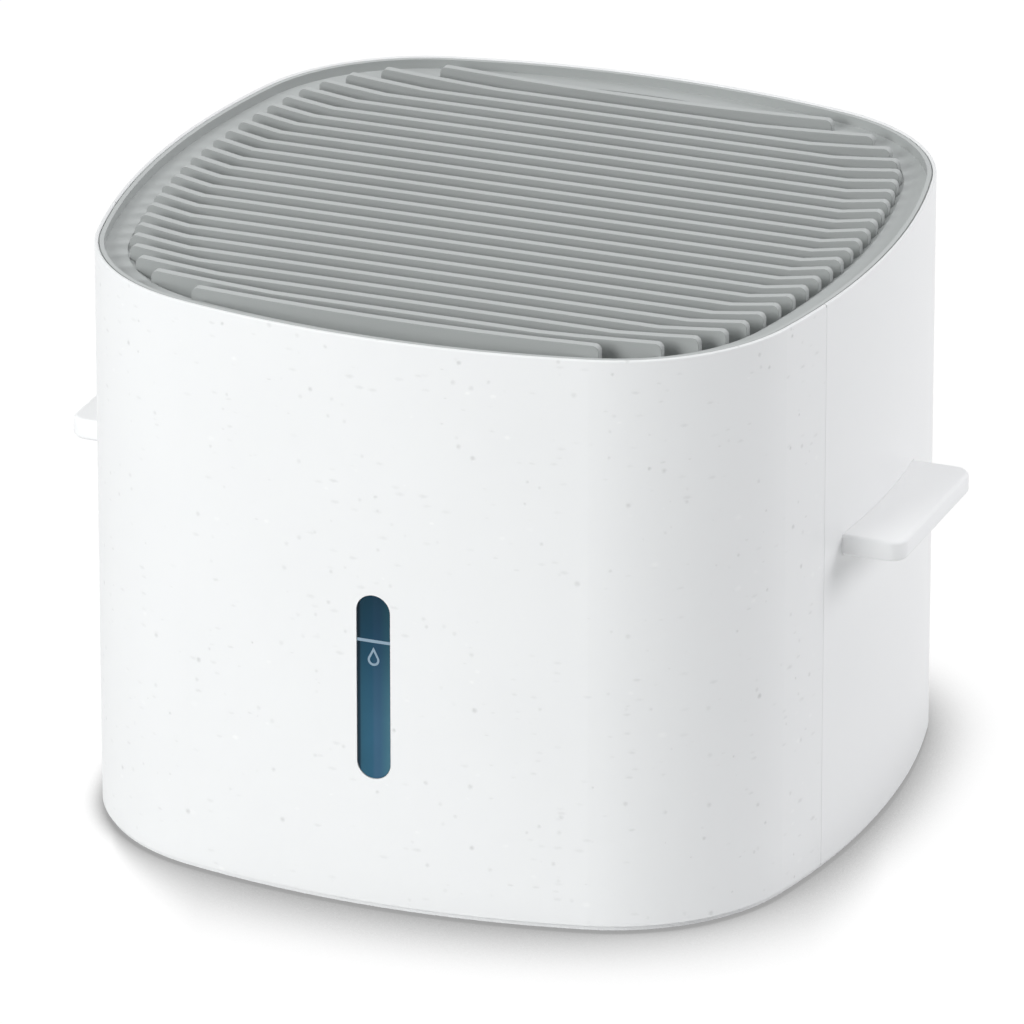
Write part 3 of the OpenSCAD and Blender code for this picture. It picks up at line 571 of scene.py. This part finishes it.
# The finger hollow below, with its section as (height above the underside, ease inwards)
HOLLOW_X0, HOLLOW_X1, HOLLOW_HALF_W, HOLLOW_CORNER = 124.5, 137.5, 26.0, 4.0
HOLLOW_SECTION = ((3.0, 1.0), (2.2, 0.35), (0.4, 0.0), (0.0, -0.4))
# Depths, below the side's face, of the foot behind the cover and of the collar in its slot, and
# how far the collar outreaches the grip
FOOT_DEPTHS = (2.95, 6.85)
COLLAR_DEPTHS = (0.15, 3.2)
SLOT_FILL = 0.27


def grip_ring(x0, x1, half_w, corner, z, side, steps=8):
    """Outline of a grip at one height: square at the wall, rounded at its outer corners."""
    points = [(x0, -half_w)]
    for cy, start in ((-half_w + corner, -90), (half_w - corner, 0)):
        for i in range(steps + 1):
            a = math.radians(start + 90 * i / steps)
            points.append((x1 - corner + corner * math.cos(a), cy + corner * math.sin(a)))
    points.append((x0, half_w))
    return [Vector((side * x * MM, y * MM, z * MM)) for x, y in points]


def grip_form(work, side, low, high):
    """A grip with its foot and its collar; low and high are the corners of its box, in mm."""
    reach = max(abs(low.x), abs(high.x))
    z0 = low.z + GRIP_FOOT_UP
    z1 = high.z - GRIP_FOOT_UP
    half_w = high.y - GRIP_FOOT_OUT
    edge = sizes().grip_edge / MM
    steps = sizes().grip_steps
    # The finger hollow from its roof down, then the underside and the two rounded edges
    rings = [grip_ring(HOLLOW_X0 + ease, HOLLOW_X1 - ease, HOLLOW_HALF_W - ease,
                       HOLLOW_CORNER - min(ease, 0), z0 + up, side)
             for up, ease in HOLLOW_SECTION]
    for start, middle in ((-90, z0 + edge), (0, z1 - edge)):
        for i in range(steps + 1):
            a = math.radians(start + 90 * i / steps)
            inset = edge - edge * math.cos(a)
            rings.append(grip_ring(GRIP_ROOT_X, reach - inset, half_w - inset,
                                   GRIP_CORNER - inset, middle + edge * math.sin(a), side))
    loft(work, rings)
    curved_plate(work, side, FOOT_DEPTHS, (low.y, high.y), (low.z, high.z))
    curved_plate(work, side, COLLAR_DEPTHS, (-half_w - SLOT_FILL, half_w + SLOT_FILL),
                 (z0 - SLOT_FILL, z1 + SLOT_FILL))


class HUMIDIFIER_OT_grips(bpy.types.Operator):
    """Build the two side grips with rounded edges and a finger hollow below"""
    bl_idname = "humidifier.grips"
    bl_label = "Side Grips"

    def execute(self, context):
        smooth = bpy.data.materials["smooth_white"]
        for side, name, node in ((1, "grip_right", "handle_right"),
                                 (-1, "grip_left", "handle_left")):
            low, high = (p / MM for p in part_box(node))
            piece = new_piece(name, lambda work: grip_form(work, side, low, high), smooth,
                              "tank_body")
            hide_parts(node)
        return {"FINISHED"}


# The outlet grille

# Painted light and shade: tone of its flanks, darker, and of what faces up, lighter, and how far up
# a face looks where each one starts
PAINTED_LIGHT_TONES = (0.9, 1.16)
PAINTED_LIGHT_SLOPES = (0.45, 0.95)
# In millimetres, how far the ledge lies below the covers' rim, and two sections as (inset, height):
# the step at the fins' ends from the ledge, and the lip that closes the joint from the rim
LEDGE_DROP = 3.4
STEP_SECTION = ((10.3, -6.0), (22.0, -15.0), (22.0, -8.0), (12.0, -1.4), (11.6, -0.9), (10.3, -0.6))
LIP_SECTION = ((1.22, -4.0), (1.6, -4.0), (1.6, -0.7), (1.4, -0.6), (1.22, -0.8))


def grille_grey():
    """Matt grey plastic with painted light: lighter on what faces up, with painted shade on its
    flanks.
    """
    material, tree, shader, tint, _ = plastic_parts(
        "grille_grey", tuple(finish().grille), 0.55, grain=0.0005, depth=0.00002, tone=0.05,
        edge=0.0005)
    facing = place(tree, "ShaderNodeSeparateXYZ")
    feed(tree, place(tree, "ShaderNodeNewGeometry").outputs["Normal"], facing.inputs[0])
    # Painted light and shade by which way a face looks: lighter facing up, darker on the flanks
    painted_light = span(tree, facing.outputs["Z"], *PAINTED_LIGHT_SLOPES, *PAINTED_LIGHT_TONES, smooth=True)
    feed(tree, scaled(tree, tint, painted_light), shader.inputs["Base Color"])
    return material


class HUMIDIFIER_OT_grille(bpy.types.Operator):
    """Finish the finned outlet grille, with a step at its fins' ends and a lip at its rim"""
    bl_idname = "humidifier.grille"
    bl_label = "Outlet Grille"

    def execute(self, context):
        grey = grille_grey()
        dress(grey, "outlet_grille")
        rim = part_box("front_cover")[1].z / MM
        for name, level, section in (("fin_step", rim - LEDGE_DROP, STEP_SECTION),
                                     ("edge_lip", rim, LIP_SECTION)):
            loop = [(inset, level + up) for inset, up in section]
            new_piece(name, lambda work: band_round(work, loop), grey, "grille")
        return {"FINISHED"}


# The level window

# Its face's inset from the cover's, in millimetres, and half the pane's width, in metres
WINDOW_INSET = 0.3
PANE_HALF_W = 0.0056
# Tones of its blue across the curved pane, from its left edge to its right
PANE_BRIGHT = 1.6
PANE_TONES = (
    (0.0, (0.45, 0.42, 0.4)), (0.18, (0.42, 0.59, 0.57)), (0.45, (0.43, 0.61, 0.62)),
    (0.53, (0.67, 0.65, 0.67)), (0.68, (0.64, 0.63, 0.66)), (0.86, (0.76, 0.8, 0.7)),
    (1.0, (1.0, 0.96, 0.76)))
# Painted shade along the pane's left and lower edges: its shift to the right and up and its width,
# in metres, and its tint
PAINTED_SHADE_SHIFT, PAINTED_SHADE_WIDTH = 0.0008, 0.0005
PAINTED_SHADE_TINT, PAINTED_SHADE_SHARE = (0.002, 0.008, 0.014), 0.7
# The print: how deep it is sunk, in metres, half the line's length and the drop's height above the
# table, in millimetres, and as shares of the drop its round end, its hollow and the hollow's sag
PRINT_SUNK = 0.00002
LINE_HALF_W, LINE_STEPS = 5.45, 12
DROP_Z, DROP_STEPS = 85.8, 40
DROP_ROUND, DROP_HOLLOW, DROP_SAG = 0.31, 0.64, 0.06


def on_window(x, z, proud):
    """A point on the window's face, or proud of it, in metres; x and z in millimetres."""
    return Vector((x * MM, -(face_at(x, WINDOW_INSET) + proud / MM) * MM, z * MM))


def drop_outline(height, z_mid):
    """Closed outline of a water drop, in millimetres, from its tip round and back."""
    r = height * DROP_ROUND
    zc = z_mid - height / 2 + r
    tip = z_mid + height / 2
    lean = math.acos(r / (tip - zc))
    points = []
    for i in range(DROP_STEPS + 1):
        a = math.pi / 2 - lean - (2 * math.pi - 2 * lean) * i / DROP_STEPS
        points.append((r * math.cos(a), zc + r * math.sin(a)))
    return [(0.0, tip)] + points + [(0.0, tip)]


def window_blue():
    """Blue that deepens upwards, with painted shade along the pane's left and lower edges and tones
    that change across the pane from left to right.
    """
    material, tree, shader = new_finish("window_blue", IOR=1.49, Specular_IOR_Level=0.12)
    split = place(tree, "ShaderNodeSeparateXYZ")
    feed(tree, object_place(tree), split.inputs[0])
    x, z = split.outputs["X"], split.outputs["Z"]
    low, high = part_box("level_window")
    line_at = (sizes().full_line_z - low.z) / (high.z - low.z)
    deep = tuple(finish().window_low)
    blue = ramp(tree, span(tree, z, low.z, high.z), (
        (0.0, deep), (line_at * 0.5, deep), (line_at, tuple(finish().window_line)),
        (1.0, tuple(finish().window_top))))
    # Distance from the pane's middle line, which ends one half width short of its two ends
    nearest = math_node(tree, "MINIMUM", math_node(tree, "MAXIMUM", z, low.z + PANE_HALF_W),
                        high.z - PANE_HALF_W)
    off_z = math_node(tree, "SUBTRACT", z, math_node(tree, "ADD", nearest, PAINTED_SHADE_SHIFT))
    off_x = math_node(tree, "SUBTRACT", x, PAINTED_SHADE_SHIFT)
    squares = math_node(tree, "ADD", math_node(tree, "POWER", off_x, 2.0),
                        math_node(tree, "POWER", off_z, 2.0))
    # Painted shade: the pane darkens in a band along its left and lower edges
    painted_shade = span(tree, math_node(tree, "POWER", squares, 0.5), PANE_HALF_W - PAINTED_SHADE_WIDTH,
                  PANE_HALF_W, smooth=True)
    blue = blend_colour(tree, math_node(tree, "MULTIPLY", painted_shade, PAINTED_SHADE_SHARE), blue, PAINTED_SHADE_TINT)
    across = ramp(tree, span(tree, x, -PANE_HALF_W, PANE_HALF_W), PANE_TONES)
    skin = use_group(tree, moulded_grain(), Grain_Size=0.003, Drift_Size=0.02)
    drift = span(tree, skin.outputs["Tone"], *NOISE, 0.94 * PANE_BRIGHT, 1.06 * PANE_BRIGHT)
    feed(tree, scaled(tree, blend_colour(tree, 1.0, blue, across, "MULTIPLY"), drift),
         shader.inputs["Base Color"])
    feed(tree, span(tree, skin.outputs["Sheen Drift"], *NOISE, 0.1, 0.16),
         shader.inputs["Roughness"])
    soft = use_group(tree, soft_edges(), Radius=0.0003)
    feed(tree, soft.outputs["Normal"], shader.inputs["Normal"])
    return material


class HUMIDIFIER_OT_window(bpy.types.Operator):
    """Finish the level window and print its line and water drop"""
    bl_idname = "humidifier.window"
    bl_label = "Level Window"

    def execute(self, context):
        dress(window_blue(), "level_window")
        dress(plastic("seal_rubber", (0.07, 0.07, 0.072), 0.7), "window_seal")
        ink = plastic("window_print", tuple(finish().print_tint), 0.4, edge=0)
        proud = sizes().print_thickness
        z, width = sizes().full_line_z / MM, sizes().full_line_width / MM
        xs = [-LINE_HALF_W + 2 * LINE_HALF_W * i / LINE_STEPS for i in range(LINE_STEPS + 1)]
        line = [[(x, z + up) for x in xs] for up in (-width / 2, width / 2)]
        tall = sizes().drop_height / MM
        drop = [drop_outline(tall, DROP_Z),
                drop_outline(tall * DROP_HOLLOW, DROP_Z - tall * DROP_SAG)]
        for name, rows in (("full_line", line), ("water_drop", drop)):
            new_piece(name, lambda work: raised_print(work, rows, on_window, proud, PRINT_SUNK),
                      ink, "tank_body")
        return {"FINISHED"}


# The tank, the fan unit and the controls


class HUMIDIFIER_OT_tank(bpy.types.Operator):
    """Finish the water tank in milky plastic"""
    bl_idname = "humidifier.tank"
    bl_label = "Water Tank"

    def execute(self, context):
        dress(plastic("tank_milky", (0.62, 0.68, 0.72), 0.25, Subsurface_Weight=0.3,
                      Subsurface_Scale=0.004), "water_tank")
        return {"FINISHED"}


# Scales of the fine lines in metal: turned, round the upright axis, and drawn, along it; how far
# they move its roughness, and the tone of its stains
TURNED = (60, 60, 4000)
DRAWN = (2500, 2500, 60)
LINE_SHEEN = (-0.08, 0.12)
STAIN_TONE = 0.8


def metal(name, colour, roughness, line_scale):
    """Drawn or turned metal with fine lines and small stains."""
    material, tree, shader = new_finish(name, Metallic=1.0)
    pull = place(tree, "ShaderNodeMapping")
    pull.inputs["Scale"].default_value = line_scale
    feed(tree, object_place(tree), pull.inputs["Vector"])
    lines = place(tree, "ShaderNodeTexNoise")
    lines.inputs["Scale"].default_value = 1
    lines.inputs["Detail"].default_value = 2
    feed(tree, pull.outputs[0], lines.inputs["Vector"])
    skin = use_group(tree, moulded_grain(), Grain_Size=0.001, Drift_Size=0.006)
    feed(tree, blend_colour(tree, span(tree, skin.outputs["Tone"], 0.35, 0.7),
                            tuple(c * STAIN_TONE for c in colour), tuple(colour)),
         shader.inputs["Base Color"])
    feed(tree, span(tree, lines.outputs["Fac"], *NOISE, *(roughness + d for d in LINE_SHEEN)),
         shader.inputs["Roughness"])
    bump = place(tree, "ShaderNodeBump")
    bump.inputs["Distance"].default_value = 0.00001
    feed(tree, lines.outputs["Fac"], bump.inputs["Height"])
    soft = use_group(tree, soft_edges(), Radius=0.0002)
    feed(tree, soft.outputs["Normal"], bump.inputs["Normal"])
    feed(tree, bump.outputs["Normal"], shader.inputs["Normal"])
    return material


class HUMIDIFIER_OT_fan(bpy.types.Operator):
    """Finish the deck, the shroud, the motor, the impeller and all screws"""
    bl_idname = "humidifier.fan"
    bl_label = "Fan Unit"

    def execute(self, context):
        dress(plastic("frame_grey", (0.62, 0.635, 0.64), 0.45, depth=0.00002),
              "fan_deck", "float_stem", "stem_nut", "filter_collar", "filter_cage")
        dress(plastic("shroud_grey", (0.05, 0.053, 0.056), 0.5, depth=0.00002), "fan_shroud")
        dress(plastic("impeller_black", (0.02, 0.021, 0.023), 0.35), "impeller")
        dress(metal("motor_steel", (0.55, 0.55, 0.57), 0.32, TURNED), "fan_motor", "fan_shaft")
        dress(metal("screw_steel", (0.62, 0.62, 0.63), 0.28, DRAWN),
              "base_screws", "deck_screws", "motor_screws", "board_screws", "stem_clip")
        return {"FINISHED"}


# The button's power symbol: its ring's radius, the width of its lines, the ends of its stroke above
# the middle, and how far it stands proud and is sunk, in metres, and the ring's gap on either side
SYMBOL_R, SYMBOL_WIDTH = 0.0024, 0.0005
SYMBOL_STROKE = (0.0004, 0.0034)
SYMBOL_PROUD, SYMBOL_SUNK = 0.00012, 0.00005
SYMBOL_GAP, SYMBOL_STEPS = math.radians(32), 40


class HUMIDIFIER_OT_controls(bpy.types.Operator):
    """Finish the rear panel, the board, the button with its symbol, the lens and the inlet"""
    bl_idname = "humidifier.controls"
    bl_label = "Controls"

    def execute(self, context):
        dress(bpy.data.materials["smooth_white"], "intake_panel")
        dress(plastic("board_green", (0.012, 0.09, 0.035), 0.3, grain=0.0012, depth=0.00004,
                      tone=0.25), "control_board")
        dress(plastic("button_grey", (0.45, 0.46, 0.46), 0.4), "power_button")
        dress(plastic("inlet_black", (0.008, 0.008, 0.009), 0.2), "power_inlet")
        dress(plastic("lens_clear", (0.5, 0.78, 0.6), 0.12, Coat_Weight=0.5), "indicator_lens")
        ink = plastic("button_print", (0.1, 0.1, 0.105), 0.5, edge=0)
        low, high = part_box("power_button")
        centre = (low + high) / 2

        def on_button(x, z, proud):
            return centre.x + x, high.y + proud, centre.z + z

        def symbol(work):
            half = SYMBOL_WIDTH / 2
            sweep = 2 * math.pi - 2 * SYMBOL_GAP
            turns = [math.pi / 2 + SYMBOL_GAP + sweep * i / SYMBOL_STEPS
                     for i in range(SYMBOL_STEPS + 1)]
            ring = [[(r * math.cos(a), r * math.sin(a)) for a in turns]
                    for r in (SYMBOL_R - half, SYMBOL_R + half)]
            stroke = [[(x, z) for z in SYMBOL_STROKE] for x in (-half, half)]
            for rows in (ring, stroke):
                raised_print(work, rows, on_button, SYMBOL_PROUD, SYMBOL_SUNK)

        new_piece("power_symbol", symbol, ink, "button")
        return {"FINISHED"}


# The filter and the float

# The wick's fibres: cells to the metre, and the depth of the relief in metres
FIBRE_SCALE = 450
FIBRE_DEPTH = 0.0004


def wick_paper():
    """Pale fibrous paper, darker between its fibres."""
    material, tree, shader = new_finish("wick_paper", Roughness=0.9, Sheen_Weight=0.3)
    skin = use_group(tree, moulded_grain(), Grain_Size=0.0012, Drift_Size=0.015)
    fibres = place(tree, "ShaderNodeTexVoronoi", feature="DISTANCE_TO_EDGE")
    fibres.inputs["Scale"].default_value = FIBRE_SCALE
    feed(tree, object_place(tree), fibres.inputs["Vector"])
    share = math_node(tree, "MULTIPLY", span(tree, fibres.outputs["Distance"], 0, 0.3),
                      span(tree, skin.outputs["Tone"], *NOISE, 0.6, 1))
    feed(tree, blend_colour(tree, share, (0.42, 0.5, 0.54), (0.68, 0.75, 0.78)),
         shader.inputs["Base Color"])
    bump = place(tree, "ShaderNodeBump")
    bump.inputs["Distance"].default_value = FIBRE_DEPTH
    feed(tree, math_node(tree, "ADD", fibres.outputs["Distance"], skin.outputs["Height"]),
         bump.inputs["Height"])
    feed(tree, bump.outputs["Normal"], shader.inputs["Normal"])
    return material


class HUMIDIFIER_OT_filter(bpy.types.Operator):
    """Finish the pleated wick and the float"""
    bl_idname = "humidifier.filter"
    bl_label = "Filter and Float"

    def execute(self, context):
        dress(wick_paper(), "wick_filter")
        dress(plastic("float_foam", (0.68, 0.2, 0.04), 0.6, grain=0.0015, depth=0.00015,
                      tone=0.15), "float_ring")
        return {"FINISHED"}


# The stage

# The height that the camera is set to look at, and how far its aim lies beside and below that
CAMERA_SPOT_Z = 0.0954
AIM_LEFT, AIM_DOWN = 0.0021, 0.00848
# The lamps: azimuths to the right of the front and elevations in degrees, lengths in metres
KEY_AZIMUTH, SIDE_AZIMUTH, TOP_AZIMUTH = -27, 119, 0
LAMP_ELEVATION, TOP_ELEVATION = 25, 85
LAMP_WIDTH, LAMP_DISTANCE, LAMP_AIM_Z = 2.8, 6.0, 0.1
KEY_TINT = (0.975, 0.985, 0.985)
SIDE_TINT = (0.985, 0.98, 1)
TOP_TINT = (1, 1, 1)
SKY_TINT = (0.95, 0.98, 1, 1)
# The floor: half its width, its colour to the object, and its colour and glow to the camera
FLOOR_HALF = 4.0
FLOOR_BOUNCE = (0.7, 0.7, 0.7, 1)
PAPER = 0.06
PAPER_GLOW = 0.975
# The contact shade on it: how far it reaches, how it falls off, and the least that it leaves
CONTACT_REACH = 0.05
CONTACT_FALL = 1.5
CONTACT_LEAST = 0.36
# Along this direction it reaches less far at both ends, and least on the left, by the key lamp
SHADE_ACROSS = (0.931, 0.365, 0)
CONTACT_LEFT, LEFT_FALL = 0.008, (-0.128, -0.1)
CONTACT_RIGHT, RIGHT_FALL = 0.027, (0.09, 0.115)


def outward(azimuth, elevation):
    """The direction at an azimuth to the right of the front and an elevation, in radians."""
    return Vector((math.sin(azimuth) * math.cos(elevation),
                   -math.cos(azimuth) * math.cos(elevation), math.sin(elevation)))


def soft_lamp(name, power, tint, azimuth, elevation=LAMP_ELEVATION):
    """A wide square lamp, turned to the object's middle."""
    aim = Vector((0, 0, LAMP_AIM_Z))
    data = bpy.data.lights.new(name, "AREA")
    data.size = LAMP_WIDTH
    data.energy = power
    data.color = tint
    lamp = bpy.data.objects.new(name, data)
    lamp.location = aim + LAMP_DISTANCE * outward(math.radians(azimuth), math.radians(elevation))
    lamp.rotation_euler = (aim - lamp.location).to_track_quat("-Z", "Y").to_euler()
    bpy.context.scene.collection.objects.link(lamp)


def ray_share(tree, *kinds):
    """1 for rays of the given kinds, and 0 for others."""
    path = place(tree, "ShaderNodeLightPath")
    share = path.outputs[kinds[0]]
    for kind in kinds[1:]:
        share = math_node(tree, "ADD", share, path.outputs[kind], clamp=True)
    return share


def blend_shaders(tree, share, a, b):
    """A Mix Shader node between two shaders' sockets."""
    mix = place(tree, "ShaderNodeMixShader")
    for socket, source in zip(mix.inputs, (share, a, b)):
        feed(tree, source, socket)
    return mix.outputs[0]


class HUMIDIFIER_OT_stage(bpy.types.Operator):
    """Set the camera, the lamps, the pale floor and the white surroundings"""
    bl_idname = "humidifier.stage"
    bl_label = "Studio Stage"

    def execute(self, context):
        scene = context.scene
        rig = scene.humidifier_stage
        scene.view_settings.view_transform = "Standard"
        self.camera(scene, rig)
        soft_lamp("key_lamp", rig.key, KEY_TINT, KEY_AZIMUTH)
        soft_lamp("side_lamp", rig.side, SIDE_TINT, SIDE_AZIMUTH)
        soft_lamp("top_lamp", rig.top, TOP_TINT, TOP_AZIMUTH, TOP_ELEVATION)
        self.surroundings(scene, rig)
        self.floor(scene, rig)
        return {"FINISHED"}

    def camera(self, scene, rig):
        back = outward(rig.azimuth, rig.elevation)
        right = Vector((math.cos(rig.azimuth), math.sin(rig.azimuth), 0))
        up = back.cross(right)
        spot = Vector((0, 0, CAMERA_SPOT_Z))
        eye = spot + back * rig.distance
        aim = spot - right * AIM_LEFT - up * AIM_DOWN
        data = bpy.data.cameras.new("camera")
        data.sensor_width = 36
        data.lens = rig.lens
        data.clip_end = 50
        camera = bpy.data.objects.new("camera", data)
        camera.location = eye
        look = (aim - eye).normalized()
        side = look.cross(Vector((0, 0, 1))).normalized()
        turn = Matrix((side, side.cross(look), -look)).transposed()
        camera.rotation_euler = turn.to_euler()
        scene.collection.objects.link(camera)
        scene.camera = camera

    def surroundings(self, scene, rig):
        world = bpy.data.worlds.new("studio")
        scene.world = world
        world.use_nodes = True
        tree = world.node_tree
        tree.nodes.clear()
        seen = ray_share(tree, "Is Camera Ray", "Is Glossy Ray", "Is Transmission Ray")
        lights = []
        for tint, strength in ((SKY_TINT, rig.ambient), ((1, 1, 1, 1), 1)):
            light = place(tree, "ShaderNodeBackground")
            light.inputs["Color"].default_value = tint
            light.inputs["Strength"].default_value = strength
            lights.append(light.outputs[0])
        out = place(tree, "ShaderNodeOutputWorld")
        feed(tree, blend_shaders(tree, seen, *lights), out.inputs[0])

    def floor(self, scene, rig):
        mesh = bpy.data.meshes.new("floor")
        r = FLOOR_HALF
        mesh.from_pydata([(-r, -r, 0), (r, -r, 0), (r, r, 0), (-r, r, 0)], [], [(0, 1, 2, 3)])
        floor = bpy.data.objects.new("floor", mesh)
        scene.collection.objects.link(floor)
        material = bpy.data.materials.new("floor_white")
        material.use_nodes = True
        tree = material.node_tree
        tree.nodes.clear()
        seen = ray_share(tree, "Is Camera Ray", "Is Glossy Ray")
        paint = place(tree, "ShaderNodeBsdfDiffuse")
        paint.inputs["Color"].default_value = FLOOR_BOUNCE
        # What the camera sees: white paper, darker where the object shades it
        shade = self.contact_shade(tree, rig)
        paper = place(tree, "ShaderNodeBsdfDiffuse")
        feed(tree, blend_colour(tree, shade, (0, 0, 0), (PAPER,) * 3), paper.inputs["Color"])
        glow = place(tree, "ShaderNodeEmission")
        glow.inputs["Color"].default_value = (1, 1, 1, 1)
        feed(tree, math_node(tree, "MULTIPLY", shade, PAPER_GLOW), glow.inputs["Strength"])
        shown = place(tree, "ShaderNodeAddShader")
        feed(tree, paper.outputs[0], shown.inputs[0])
        feed(tree, glow.outputs[0], shown.inputs[1])
        out = place(tree, "ShaderNodeOutputMaterial")
        feed(tree, blend_shaders(tree, seen, paint.outputs[0], shown.outputs[0]), out.inputs[0])
        mesh.materials.append(material)

    def contact_shade(self, tree, rig):
        """Light left on the floor, from 1 down to its least beside the base."""
        near = place(tree, "ShaderNodeAmbientOcclusion", samples=8)
        along = place(tree, "ShaderNodeVectorMath", operation="DOT_PRODUCT")
        feed(tree, object_place(tree), along.inputs[0])
        along.inputs[1].default_value = SHADE_ACROSS
        across = along.outputs["Value"]
        left = span(tree, across, *LEFT_FALL, CONTACT_LEFT, CONTACT_REACH)
        right = span(tree, across, *RIGHT_FALL, CONTACT_REACH, CONTACT_RIGHT)
        feed(tree, math_node(tree, "MINIMUM", left, right), near.inputs["Distance"])
        hidden = math_node(tree, "POWER", math_node(tree, "SUBTRACT", 1.0, near.outputs["AO"]),
                           CONTACT_FALL)
        # A wall hides half of the floor's sky, and the loss beside it is the stage's contact shade
        lost = math_node(tree, "MULTIPLY", hidden, rig.contact / 0.5 ** CONTACT_FALL)
        return math_node(tree, "MAXIMUM", math_node(tree, "SUBTRACT", 1.0, lost), CONTACT_LEAST)


STEPS = (HUMIDIFIER_OT_covers, HUMIDIFIER_OT_grips, HUMIDIFIER_OT_grille, HUMIDIFIER_OT_window,
         HUMIDIFIER_OT_tank, HUMIDIFIER_OT_fan, HUMIDIFIER_OT_controls, HUMIDIFIER_OT_filter,
         HUMIDIFIER_OT_stage)


class HUMIDIFIER_PT_panel(bpy.types.Panel):
    """The humidifier's steps and settings"""
    bl_idname = "HUMIDIFIER_PT_panel"
    bl_label = "Humidifier"
    bl_space_type = "VIEW_3D"
    bl_region_type = "UI"
    bl_category = "Humidifier"

    def draw(self, context):
        for step in STEPS:
            self.layout.operator(step.bl_idname)
        for name in ("humidifier_sizes", "humidifier_finish", "humidifier_stage"):
            group = getattr(context.scene, name)
            for key in group.__annotations__:
                self.layout.prop(group, key)


GROUPS = {"humidifier_sizes": HumidifierSizes, "humidifier_finish": HumidifierFinish,
          "humidifier_stage": HumidifierStage}


def register():
    for cls in (*GROUPS.values(), *STEPS, HUMIDIFIER_PT_panel):
        bpy.utils.register_class(cls)
    for name, group in GROUPS.items():
        setattr(bpy.types.Scene, name, PointerProperty(type=group))


def unregister():
    for name in GROUPS:
        delattr(bpy.types.Scene, name)
    for cls in (HUMIDIFIER_PT_panel, *reversed(STEPS), *GROUPS.values()):
        bpy.utils.unregister_class(cls)


def main():
    register()
    for step in STEPS:
        family, name = step.bl_idname.split(".")
        getattr(getattr(bpy.ops, family), name)()


if __name__ == "__main__":
    main()
